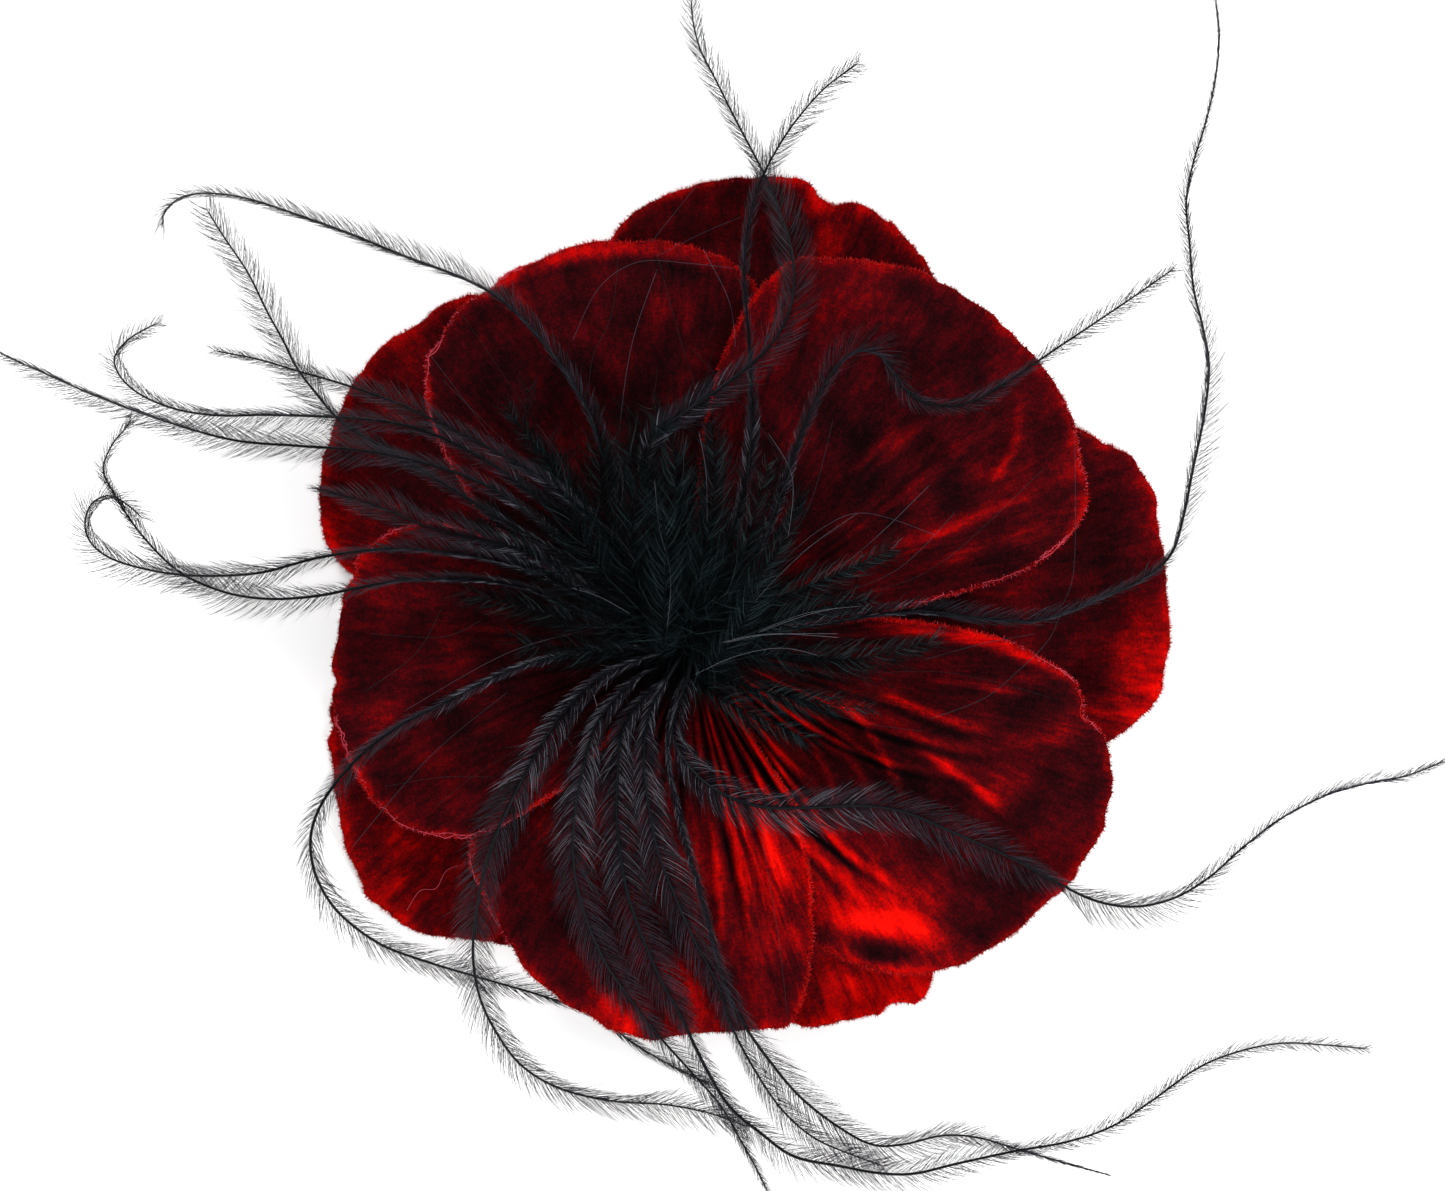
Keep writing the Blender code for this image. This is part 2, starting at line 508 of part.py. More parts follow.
def needle(steel):
    """One wire: a turn round the rivet, then a straight pin tapered to a point."""
    steps = 12
    points = []
    for step in range(steps + 1):
        turn = math.radians(90 - 360 * step / steps)
        points.append((NEEDLE_HINGE_X + NEEDLE_EYE_RADIUS * math.cos(turn),
                       BROOCH_Y + NEEDLE_EYE_PITCH * (0.5 - step / steps),
                       NEEDLE_Z + NEEDLE_EYE_RADIUS * math.sin(turn)))
    points = points[:-2]
    straight_from = NEEDLE_HINGE_X - 6
    points += [(NEEDLE_HINGE_X - 3.4, BROOCH_Y - 0.15, NEEDLE_Z), (straight_from, BROOCH_Y, NEEDLE_Z)]
    length = straight_from - NEEDLE_TIP_X
    points += [(straight_from - length * share, BROOCH_Y, NEEDLE_Z) for share in (0.25, 0.5, 0.75, 0.9, 1.0)]
    pin = wire("brooch_needle", points, NEEDLE_WIRE, steel)
    for point, radius in zip(list(pin.data.splines[0].points)[-2:], (0.85, 0.15)):
        point.radius = radius


def catch(steel, sleeve_steel):
    """The slotted catch, the foot that holds it to the bar, and the sleeve that turns to shut it."""
    band = arc_band(BROOCH_Y, NEEDLE_Z, CATCH_RADII, CATCH_OPENING, CATCH_X, CATCH_LENGTH, 14)
    piece = add_mesh("pin_catch", band, steel, smooth_below=40)
    foot = box((CATCH_X + CATCH_LENGTH - 0.8, BROOCH_Y - 0.5, NEEDLE_Z + CATCH_RADII[0] + 0.2),
               (CATCH_X + CATCH_LENGTH + 0.6, BROOCH_Y + 0.5, BAR_Z[0] - GAP))
    combine(piece, "UNION", foot)
    sleeve_x = CATCH_X - 0.3
    band = arc_band(BROOCH_Y, NEEDLE_Z, SLEEVE_RADII, SLEEVE_OPENING, sleeve_x, SLEEVE_LENGTH, 14)
    sleeve = add_mesh("catch_sleeve", band, sleeve_steel, smooth_below=40)
    outer = BROOCH_Y + SLEEVE_RADII[1]
    combine(sleeve, "UNION", box((sleeve_x + 0.4, outer - 0.25, NEEDLE_Z - 0.4),
                                 (sleeve_x + 1.5, outer + 1.3, NEEDLE_Z + 0.4)))


def brooch():
    steel = material("brooch_steel", (0.66, 0.66, 0.68), 0.28, 1.0)
    pin_steel = material("needle_steel", (0.72, 0.72, 0.74), 0.18, 1.0)
    sleeve_steel = material("sleeve_brass", (0.70, 0.70, 0.66), 0.3, 1.0)
    brooch_bar(steel)
    hinge_bracket(steel)
    needle(pin_steel)
    rivet = rod((NEEDLE_HINGE_X, BROOCH_Y, NEEDLE_Z), "y", HINGE_RIVET_RADIUS, 4.8, segments=12)
    add_mesh("hinge_rivet", rivet, steel, smooth_below=40)
    catch(steel, sleeve_steel)


# ---- the feather bundle ----


def feather_height(bend_z, along, length, over_z, tip_z):
    """Height of a shaft past its bend: up off the bundle, over the petals, then to its tip."""
    near = bend_z + NEAR_RISE * math.sin(math.pi / 2 * min(along / FEATHER_NEAR_AT, 1))
    over = (over_z - bend_z - NEAR_RISE) * smoothstep((along - FEATHER_NEAR_AT) / (FEATHER_OVER_AT - FEATHER_NEAR_AT))
    fall = (tip_z - over_z) * smoothstep((along - FEATHER_OVER_AT) / (length - FEATHER_OVER_AT))
    return near + over + fall


def feather_route(ring, angle, over_z, tip_z, points):
    root = polar(angle, ROOT_RADII[ring]) + Vector((BUNDLE_X, BUNDLE_Y, 0))
    plan = [root] + [Vector((x, y, 0)) for x, y in points]
    fine = catmull(plan, 8 * len(plan))
    along = [0.0]
    for before, after in zip(fine, fine[1:]):
        along.append(along[-1] + (after - before).length)
    route = [
        Vector((place.x, place.y, feather_height(BEND_Z[ring], distance, along[-1], over_z, tip_z)))
        for place, distance in zip(fine, along)
    ]
    wanted = [along[-1] * step / (SHAFT_POINTS - 1) for step in range(SHAFT_POINTS)]
    even, index = [root + Vector((0, 0, ROOT_Z))], 0
    for distance in wanted:
        while index < len(along) - 2 and along[index + 1] < distance:
            index += 1
        share = (distance - along[index]) / (along[index + 1] - along[index])
        even.append(route[index].lerp(route[index + 1], share))
    return even


def feathers():
    shaft = material("feather_black", (0.012, 0.014, 0.018), 0.6)
    for name, spec in FEATHERS.items():
        wire(name, feather_route(*spec), SHAFT_ROOT, shaft, sides=4, taper_to=SHAFT_TIP)


def bundle_centre():
    down = material("down", (0.015, 0.02, 0.022), 0.9)
    thread = material("thread", (0.02, 0.018, 0.02), 0.7)
    quill = material("quill", (0.05, 0.045, 0.04), 0.5)
    centre = (BUNDLE_X, BUNDLE_Y)
    low, high = TUFT_Z
    height = high - low
    dome = [(TUFT_RADIUS * 0.45, low), (TUFT_RADIUS * 0.9, low + 0.15 * height), (TUFT_RADIUS, low + 0.45 * height),
            (TUFT_RADIUS * 0.75, low + 0.8 * height), (TUFT_RADIUS * 0.3, high)]
    add_mesh("down_tuft", turned(dome, centre, segments=16), down, smooth_below=80)
    stalk = [(QUILL_RADIUS, ROOT_Z), (QUILL_RADIUS * 0.8, low - GAP)]
    add_mesh("tuft_quill", turned(stalk, centre, segments=8), quill, smooth_below=60)
    per_turn = 16
    steps = int(THREAD_TURNS * per_turn)
    turns = [360.0 * step / per_turn for step in range(steps + 1)]
    coil = [
        polar(turn, THREAD_RADIUS) + Vector((BUNDLE_X, BUNDLE_Y, ROOT_Z + 0.4 + THREAD_PITCH * turn / 360))
        for turn in turns
    ]
    wire("thread_binding", coil, THREAD_WIRE, thread, sides=4)


def main():
    for obj in list(bpy.data.objects):
        bpy.data.objects.remove(obj)
    material("helper", (0.8, 0.8, 0.8), 0.5)
    petals()
    backing()
    clip()
    brooch()
    feathers()
    bundle_centre()


main()
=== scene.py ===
"""Looks for the velvet flower fascinator: gathered velvet petals, ostrich tendrils, down, felt and metal.

Shapes are worked out in millimetres, in the frame's axes, and turned into metres as each mesh is made.
"""

import math

import bpy
import numpy as np
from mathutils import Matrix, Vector


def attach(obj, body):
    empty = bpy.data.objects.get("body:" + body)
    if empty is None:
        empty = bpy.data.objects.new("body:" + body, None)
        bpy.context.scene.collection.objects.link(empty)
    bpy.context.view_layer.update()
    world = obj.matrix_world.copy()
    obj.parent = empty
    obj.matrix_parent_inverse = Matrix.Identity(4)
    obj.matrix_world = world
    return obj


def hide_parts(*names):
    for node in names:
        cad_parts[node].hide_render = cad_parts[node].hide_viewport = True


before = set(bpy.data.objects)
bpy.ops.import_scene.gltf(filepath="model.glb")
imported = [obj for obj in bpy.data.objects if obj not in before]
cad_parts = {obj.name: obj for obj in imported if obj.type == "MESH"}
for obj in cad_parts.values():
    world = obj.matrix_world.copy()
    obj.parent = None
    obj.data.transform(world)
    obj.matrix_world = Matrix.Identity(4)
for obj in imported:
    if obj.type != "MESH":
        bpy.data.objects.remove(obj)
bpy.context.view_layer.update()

MM = 0.001

# ---- shapes repeated from the part's source ----

PETAL_BASE_RADIUS, PETAL_BASE_SPREAD, PINWHEEL_LIFT = 7.0, 84.0, 1.3
FRONT_HUB_Z, FRONT_RISE = 21.0, 5.5
BACK_HUB_Z, BACK_DROOP_START, BACK_RIM_Z = 16.2, 20.0, -1.5

FRONT_PETALS = {
    "front_petal_1": [(152, 28), (148, 38), (142, 48), (137, 55), (130, 60), (121, 62), (110, 63),
                      (98, 62), (90, 60.3), (83, 57.5), (77, 52), (73, 44), (71, 34)],
    "front_petal_2": [(86, 32), (83, 44), (79, 54), (73, 61), (61, 65.5), (52, 67.5), (42, 68.5),
                      (31, 68), (21, 65), (16, 61), (12, 52), (10, 40), (8, 30)],
    "front_petal_3": [(7, 28), (2, 42), (-2, 52), (-7, 60), (-11, 61.5), (-14, 66), (-20, 68.5),
                      (-28, 69.5), (-37, 68), (-48, 65.5), (-57, 61), (-65, 53), (-71, 44), (-75, 32)],
    "front_petal_4": [(-58, 28), (-63, 40), (-69, 51), (-73, 58), (-77, 61), (-88, 60.3), (-97, 61.4),
                      (-106, 59.5), (-116, 56.5), (-124, 52.5), (-132, 49), (-138, 45), (-144, 34)],
    "front_petal_5": [(153, 32), (156, 44), (164, 51.5), (171, 53), (181, 54.3), (191, 55.4),
                      (201, 55.2), (210, 53.6), (217, 49), (223, 43), (229, 30)],
}
BACK_PETALS = {
    "back_petal_1": [(118, 40), (118, 54), (122, 62.5), (130, 64.8), (138, 65.8), (147, 65),
                     (156, 62.5), (163, 59.5), (168, 55), (172, 46), (174, 34)],
    "back_petal_2": [(111, 38), (108, 52), (104, 60), (98, 66), (91, 69.8), (83, 72), (76, 72.8),
                     (72.5, 70.8), (68, 72.3), (62, 70.5), (56, 67), (50, 56), (46, 40)],
    "back_petal_3": [(38, 38), (35, 54), (31, 65), (25, 71.5), (20, 74.8), (12, 74.7), (2, 74),
                     (-6, 73.3), (-11, 69.5), (-16, 63), (-21, 52), (-25, 38)],
    "back_petal_4": [(-34, 38), (-38, 50), (-44, 58), (-51, 61.5), (-57, 66), (-61.2, 64.6),
                     (-66, 64.2), (-73, 62.4), (-80, 57), (-88, 48), (-94, 36)],
    "back_petal_5": [(182, 36), (184, 47), (189, 55), (196, 58), (205, 60), (214, 63), (221, 63.5),
                     (228, 61), (235, 57.3), (241, 53), (246, 46), (250, 34)],
}

BUNDLE = np.array([-1.5, 0.3, 0.0])
ROOT_Z, ROOT_RADII, BEND_Z = 25.4, {"inner": 2.5, "outer": 4.3}, {"inner": 30.4, "outer": 29.0}
NEAR_RISE, NEAR_AT, OVER_AT = 1.8, 9.0, 30.0

# Feathers: root ring, root angle, height over the petals, height at the tip, route in X and Y, and
# the vane: (route point, reach to the left, reach to the right), looking from root to tip.
FEATHERS = {
    "feather_01": ("outer", 105, 34.0, 30.0, [
        (-6, 8), (-9.5, 18), (-13, 28), (-16, 36), (-20.5, 43), (-25.5, 49), (-30, 53), (-36, 56),
        (-44, 59), (-52, 62.3), (-60, 65.2), (-68, 67.8), (-74, 68.6), (-78, 68), (-80.5, 66), (-81, 64)],
        [(0, .5, 1), (4, .3, 2.4), (6, .5, 3.2), (7, 1, 3.8), (9, .8, 2.6), (11, .8, 1.8), (13, .8, 1.6),
         (15, 1, 2)]),
    "feather_02": ("inner", 150, 33.4, 26.0, [
        (-9, 6), (-17, 11.5), (-27, 17.5), (-37, 23.5), (-46, 29), (-53, 33), (-57.5, 38), (-60.5, 42),
        (-62.5, 46), (-65, 50.5), (-68, 56.5), (-72, 62.5), (-74.5, 66.5)],
        [(0, .6, .6), (3, 1.2, 1), (5, 2.5, 1.5), (6, 4, 2.8), (7, 4.5, 3.6), (9, 4.6, 4.2), (11, 3.6, 3.4),
         (12, 2.2, 2.2)]),
    "feather_03": ("outer", 137, 35.5, 38.0, [
        (-8.5, 8.5), (-16, 16), (-24, 22.5), (-32, 28), (-38, 31), (-44, 33), (-50, 33.9), (-57, 34.3),
        (-65, 34.5), (-72, 34.4), (-78, 35.2), (-83, 37), (-86.2, 39.2), (-87.8, 41.5), (-88, 43.5),
        (-86, 46), (-83, 47.8), (-81, 48.7)],
        [(0, .6, .6), (2, 1.2, 1.6), (4, 1.5, 2), (6, 3, 1.5), (8, 3.8, 1.2), (10, 3.2, 2.2), (12, 3, 3),
         (14, 2.8, 2.6), (16, 1.6, 1.6), (17, 1, 1)]),
    "feather_04": ("outer", 159, 36.4, 25.0, [
        (-8.5, 5.5), (-15, 11.5), (-20, 15.8), (-24.6, 19.5), (-31.3, 23.8), (-40, 27), (-50, 29),
        (-60, 29.8), (-70, 30.7), (-80.5, 33.6), (-91, 37.4), (-101, 41.8), (-106, 44)],
        [(0, .5, .5), (3, 1, 1), (5, 2.5, 1.5), (6, 3.2, 2.5), (8, 3.2, 2.8), (9, 3.6, 1), (10, 3.4, .5),
         (11, 2.2, .4), (12, .5, .3)]),
    "feather_05": ("inner", 112, 37.0, 35.0, [
        (-7.5, 9.5), (-14, 17.5), (-21, 23.5), (-29, 28.5), (-37, 32.6), (-44, 36), (-50, 38.2),
        (-55, 39.8), (-60, 41.2), (-66, 43), (-73, 44.4)],
        [(0, .6, .8), (3, 1.5, 2.2), (5, 2, 2.8), (7, 1.8, 2), (8, 1.4, 1.5), (10, 1, 1)]),
    "feather_06": ("outer", 181, 36.0, 30.0, [
        (-9, 2.8), (-16, 6.5), (-22, 9.7), (-30, 12.1), (-38, 13.5), (-45, 14), (-51, 13.6), (-58, 12.4),
        (-65, 10.5), (-71, 9.9), (-78, 10), (-84, 11), (-89, 12.6), (-92, 15), (-92.9, 18),
        (-91.8, 21), (-89, 22.2), (-86, 20.5), (-84, 18.6)],
        [(0, .4, 1), (2, .4, 2), (4, .5, 2.4), (5.5, .4, .9), (7, 3, 1.6), (8, 4, 2.5), (10, 3.8, 2.5),
         (12, 4.2, 3.2), (14, 3.8, 3), (16, 2.6, 2.2), (18, 1.6, 1.6)]),
    "feather_07": ("outer", 203, 33.5, 33.0, [
        (-9, 0.8), (-17, 4.2), (-25, 7.8), (-34, 9.2), (-43, 9.2), (-50, 8.2), (-57, 6.8), (-64, 6.3),
        (-70, 7), (-75, 8.7), (-78.5, 10.6), (-82, 13.8), (-85.5, 18), (-88.5, 22.8), (-90, 26.3),
        (-88.6, 30), (-86.7, 32.3), (-85.6, 34)],
        [(0, .3, .6), (2, .3, 1.3), (4, .4, 1.5), (5, 1.5, 1.5), (6, 3.2, 2.5), (7, 3.8, 3.4),
         (9, 3.6, 3.2), (10, 2.4, 2), (12, 1, 1.4), (14, 1.6, 1.6), (16, 1, 1.6), (17, .6, .8)]),
    "feather_08": ("inner", 190, 34.6, 32.0, [
        (-9, 4.2), (-17, 9), (-25, 13.5), (-33, 15.6), (-40, 17.3), (-46, 19.8), (-51, 21.5),
        (-58, 23.4)],
        [(0, .5, .5), (2, 1.5, 2), (3, 2.5, 3.5), (5, 3, 4), (6, 1.5, 2), (7, .3, .3)]),
    "feather_09": ("outer", 225, 35.0, 8.0, [
        (-8.5, -1), (-14, -1.2), (-20, -2.4), (-26, -4), (-32, -6.6), (-38, -9.8), (-44, -12.8),
        (-50, -17.2), (-55, -22.8), (-57.6, -27.5), (-58.3, -32), (-57.2, -37), (-54, -42), (-48, -46.7),
        (-41, -49.5), (-32, -52.3), (-23, -55), (-15, -58), (-8, -63), (-1.5, -66.7), (3.5, -69)],
        [(0, .4, .3), (3, 1, .7), (5, 1.8, .9), (7, 2.2, 1.5), (8, 3, 2.2), (10, 3.6, 2.8), (12, 3.8, 3),
         (14, 3.2, 2.8), (16, 2, 1.2), (18, 1.2, .8), (20, .5, .4)]),
    "feather_10": ("inner", 229, 37.5, 12.0, [
        (-8, -3), (-13.5, -5.5), (-18.5, -10), (-23, -16.5), (-27, -24), (-30.8, -32.8), (-32.6, -41),
        (-33.3, -48), (-32.4, -54.5), (-30, -60), (-26, -65.5), (-20, -69.2), (-12, -71.2), (-4, -71.8),
        (3, -73.2), (9, -75.4)],
        [(0, 1, .5), (2, 2.8, 1.2), (3, 3.6, 3), (4, 4, 4.6), (6, 4, 4), (8, 3.8, 3.8), (10, 3.4, 3.6),
         (12, 2.2, 3.4), (14, 1.6, 3.2), (15, 1, 2)]),
    "feather_11": ("outer", 247, 34.5, 22.0, [
        (-7, -5), (-11, -8.5), (-14.4, -13), (-16.2, -19), (-17.6, -26), (-17.9, -33.8), (-16.5, -41),
        (-13.5, -48.5), (-9.7, -54.4), (-5.5, -60), (0.5, -66.8), (4.6, -71.5), (7.5, -76.5), (10, -81),
        (12, -85)],
        [(0, .8, .6), (2, 2.5, 2), (3, 4, 3.2), (5, 4.6, 4.2), (7, 4.4, 4.2), (8, 2.4, 1.6), (9, 2.2, 1.8),
         (10, 2.8, 2.4), (11, 2.2, 1.6), (12, 1.2, 1), (14, .5, .4)]),
    "feather_12": ("outer", 269, 32.5, 22.0, [
        (-5, -7), (-8.5, -10.5), (-10.6, -15), (-11.1, -21), (-11.2, -28), (-10, -37), (-7.9, -44),
        (-4.8, -51.5), (-1.5, -57.5), (2.1, -65), (6, -71.5), (11, -75.8), (16, -79.3), (23, -80.8),
        (29, -81.9), (34.5, -82), (41, -80.5), (50, -78.6), (58, -77.2), (65, -74.8), (71.5, -70.6),
        (78, -66), (84, -63.5), (91, -62.1), (98, -62.4), (104.6, -63)],
        [(0, .8, .6), (2, 3, 2), (4, 4.6, 4), (6, 4.6, 4.2), (7, 3.8, 3.2), (8, 2, 1.8), (10, 2.6, 2.6),
         (12, 3.2, 3.6), (14, 3.4, 3.6), (16, 3.4, 2.6), (17, 1.8, 1.4), (19, 2.2, 1.6), (21, 2.2, 1.7),
         (23, 1.6, 1.5), (24, 1.5, 1.5), (25, .8, .8)]),
    "feather_13": ("inner", 274, 36.0, 25.0, [
        (-3.8, -6.5), (-6, -10.5), (-7, -15.5), (-6.8, -22), (-5.2, -31.3), (-2.8, -38), (0.5, -45.6),
        (4.1, -52.5), (6.3, -59), (9.7, -65.6), (14, -72), (19, -76.5), (25, -79.2), (30, -81)],
        [(0, .8, .6), (2, 3, 2), (4, 4.2, 3.6), (6, 3.2, 3.6), (7, 1.8, 2), (8, 1.2, 1.2), (9, 2.6, 2),
         (11, 3, 3.2), (12, 2.6, 3), (13, 1.6, 1.6)]),
    "feather_14": ("outer", 291, 33.5, 16.0, [
        (-2, -8), (-3.2, -13), (-3.2, -19), (-2, -25.5), (0.5, -34.9), (2.7, -43), (5, -51.8),
        (8.2, -58.8), (12.5, -65), (17, -70.3), (22.5, -74.7), (28, -77.7), (33, -77.7), (39, -76.4),
        (44.5, -76.8), (50.5, -78.6), (57, -80.5), (64.6, -82.6)],
        [(0, .4, .4), (3, .8, .8), (5, 1.2, .9), (6, 2.6, .9), (7, 2, 1.6), (8, 4.2, 3), (10, 4.2, 3.6),
         (11, 3.2, 3.6), (12, 2.4, 3.4), (13, 2.4, 3), (14, 1.8, 1.6), (15, .8, .9), (16, .6, .5),
         (17, .15, .15)]),
    "feather_15": ("inner", 313, 38.0, 26.0, [
        (-0.5, -6.5), (-2, -10.5), (-2.6, -14.5), (0, -19.5), (4.5, -23.2), (10.8, -25.4), (18, -25.6),
        (26, -25.3), (32.8, -26.3), (40.5, -29.5), (48.7, -33.1), (56, -37), (62, -39.9), (68, -40.9),
        (74, -39.7), (79.5, -36.6), (85, -31.8), (91, -27.3), (98, -23.8), (104.6, -21.9),
        (110, -20.9), (116, -18.6)],
        [(0, 1.5, .3), (2, 3.2, .5), (3, 3.6, 2.5), (4, 3.6, 4), (6, 3.6, 4.6), (8, 4, 4.8), (9, 4.2, 4.6),
         (10, 1.4, 3.6), (11, 1.2, 1.4), (11.5, 2.6, 4.2), (12, 3, 4.6), (13, 2.6, 4.6), (14, 2.6, 4.4),
         (15, 2.4, 1.6), (16, 1.6, .4), (17, 1.8, .4), (18, 2.4, .5), (19, 2.6, .6), (20, 1.4, 1.2),
         (21, .8, .8)]),
    "feather_16": ("outer", 355, 33.0, 21.0, [
        (6, 0), (12, 1), (20, 2.5), (28, 3.8), (36, 4.4), (44, 3.4), (52, 2.9), (58, 4.3), (64, 6.9),
        (70, 9.7), (74, 13.5), (76, 20), (77.2, 26), (79, 34.4), (79.8, 42), (78.9, 48), (77.5, 54),
        (76.9, 61), (76.4, 67.5), (77.5, 73.5), (79.5, 80), (81, 87), (81.5, 93), (81, 98.5)],
        [(0, .5, .3), (2, 1.6, .4), (4, 2.4, .5), (6, 2.6, .6), (7, 1.6, .6), (9, 1.4, .8), (10, 1.2, 2),
         (11, 1.6, 3.8), (12, 1.2, 4.2), (13, .9, 4.2), (14, .7, 3), (15, .9, 2.2), (16, 1.6, 2),
         (17, 1.8, 1), (18, 2, .4), (19, 1.6, 1), (20, .6, .5), (21, .45, .3), (23, .4, .3)]),
    "feather_17": ("outer", 35, 34.0, 30.0, [
        (5, 5.5), (8.5, 10), (11.8, 16.5), (14.8, 24.5), (16.8, 31), (19.5, 37), (22.3, 41.7),
        (25.5, 44.2), (28.8, 44), (31.2, 41.2), (33.4, 38), (37, 36.2), (41, 36), (45, 37.4),
        (50, 40.5), (56, 44.6), (62, 48.6), (68.5, 53), (74.5, 57.2)],
        [(0, .5, .4), (2, 1.2, .8), (4, 1, .8), (5, 1.6, 1), (6, 3.6, 1), (7, 4, 1.2), (8, 3, 1.4),
         (9, 1.6, 1.8), (10, 1.2, 2), (11, 1.6, 1.2), (13, 1.8, 2.2), (14, .9, 1.2), (15, 2.4, 2.4),
         (16, 2.6, 2.8), (17, 2, 2.4), (18, .8, .9)]),
    "feather_18": ("outer", 58, 33.0, 34.0, [
        (2.5, 7), (6, 15), (8.5, 24), (9.4, 32), (9.4, 40), (9, 47), (8.3, 54.5), (8.6, 61),
        (9.8, 67.5), (11.8, 72.5), (15.4, 78.5), (20, 84), (23.6, 86.9), (26.2, 88.7)],
        [(0, .5, .5), (2, 1.6, 1.4), (3, 1.2, 1.6), (4, .8, 1), (6, .7, 1), (8, 1.6, 1.6), (9, 2.2, 3),
         (10, 2.2, 4), (11, 2, 3.4), (12, 2, 2.6), (13, 1.6, 1.6)]),
    "feather_19": ("inner", 70, 36.5, 27.0, [
        (-1, 8), (-4.5, 16), (-7, 24.5), (-5.5, 31), (-1, 34.8), (4, 38.2), (8.2, 41.3), (12, 44.8),
        (15, 49.8), (16, 55), (15.4, 60.5), (13.5, 66.5), (11, 72.3), (7.5, 79), (4, 86), (1.5, 91),
        (0.4, 95.5), (0.2, 98.8)],
        [(0, .5, .5), (2, 1, 1), (3, 2.2, 2.2), (5, 2.4, 3), (7, 3, 3.8), (9, 3.8, 4), (11, 2, 4.2),
         (12, 1.2, 2), (13, 2.8, 3.2), (14, 3.2, 3.4), (16, 2.6, 2.8), (17, 2.2, 2.2)]),
}

# ---- small tools ----


def smoothstep(value):
    value = np.clip(value, 0.0, 1.0)
    return value * value * (3.0 - 2.0 * value)


def polar(outline):
    angle, radius = np.radians([a for a, _ in outline]), np.array([r for _, r in outline], float)
    return np.stack([radius * np.cos(angle), radius * np.sin(angle)], 1)


def catmull(points, place):
    """Points on a smooth curve through the given ones. Place 0 is the first of them, place 1 the second."""
    points = np.asarray(points, float)
    spans = len(points) - 1
    span = np.minimum(np.asarray(place).astype(int), spans - 1)
    t = (place - span)[:, None]
    before, start = points[np.maximum(span - 1, 0)], points[span]
    end, after = points[span + 1], points[np.minimum(span + 2, spans)]
    return 0.5 * (2 * start + (end - before) * t + (2 * before - 5 * start + 4 * end - after) * t**2
                  + (3 * start - before - 3 * end + after) * t**3)


def through(points, count):
    """This many points along a smooth curve through the given ones."""
    return catmull(points, np.linspace(0, len(points) - 1, count))


def lengths(points):
    """Distance along a polyline to each of its points."""
    return np.concatenate([[0.0], np.cumsum(np.linalg.norm(np.diff(points, axis=0), axis=1))])


def along_line(line, along, place):
    return np.stack([np.interp(place, along, line[:, i]) for i in range(line.shape[1])], 1)


def unit(vectors):
    return vectors / np.maximum(np.linalg.norm(vectors, axis=-1, keepdims=True), 1e-9)


def bearing_of(x, y):
    return np.degrees(np.arctan2(y, x))


def in_sector(bearing, low, high):
    return (bearing - low) % 360 < (high - low) % 360


def round_points(radius, turn, level, centre=(0.0, 0.0)):
    return np.column_stack([centre[0] + radius * np.cos(turn), centre[1] + radius * np.sin(turn), level])


def new_seed(local):
    return int(local.integers(1e6))


def wander(count, scale, size, seed):
    """A smooth random curve of this many values, which varies over about scale steps."""
    knots = np.random.default_rng(seed).normal(0, 1, int(count / scale) + 4)
    return size * catmull(knots[:, None], np.linspace(0, len(knots) - 1.001, count))[:, 0]


FIELD_WAVES, FIELD_SIZE = 14, 3.4


def field(x, y, scale, seed):
    """Smooth random values over X and Y, from about -1 to 1, in patches about scale across."""
    local = np.random.default_rng(seed)
    total = np.zeros_like(x)
    for _ in range(FIELD_WAVES):
        turn, phase = local.uniform(0, math.tau), local.uniform(0, math.tau)
        wave = local.uniform(0.7, 1.5) * math.tau / (2.2 * scale)
        total += np.sin(wave * (x * math.cos(turn) + y * math.sin(turn)) + phase)
    return total / FIELD_SIZE


def mesh_piece(name, points, faces, materials, slots=None, smooth=True):
    """A mesh object from points in millimetres and faces: one array for each number of corners."""
    mesh = bpy.data.meshes.new(name)
    groups = [np.asarray(f, np.int32) for f in faces if len(f)]
    corners = np.concatenate([g.ravel() for g in groups])
    sides = np.concatenate([np.full(len(g), g.shape[1], np.int32) for g in groups])
    mesh.vertices.add(len(points))
    mesh.vertices.foreach_set("co", (np.asarray(points, np.float32) * MM).ravel())
    mesh.loops.add(len(corners))
    mesh.loops.foreach_set("vertex_index", corners)
    mesh.polygons.add(len(sides))
    mesh.polygons.foreach_set("loop_start", np.concatenate([[0], np.cumsum(sides)[:-1]]).astype(np.int32))
    mesh.polygons.foreach_set("use_smooth", np.full(len(sides), smooth))
    for mat in materials:
        mesh.materials.append(mat)
    if slots is not None:
        mesh.polygons.foreach_set("material_index", np.asarray(slots, np.int32))
    mesh.update(calc_edges=True)
    obj = bpy.data.objects.new(name, mesh)
    bpy.context.scene.collection.objects.link(obj)
    return obj


ODD_AXIS = np.array([0.13, 0.21, 0.97])  # no strand runs along it
UP = np.array([0.0, 0.0, 1.0])


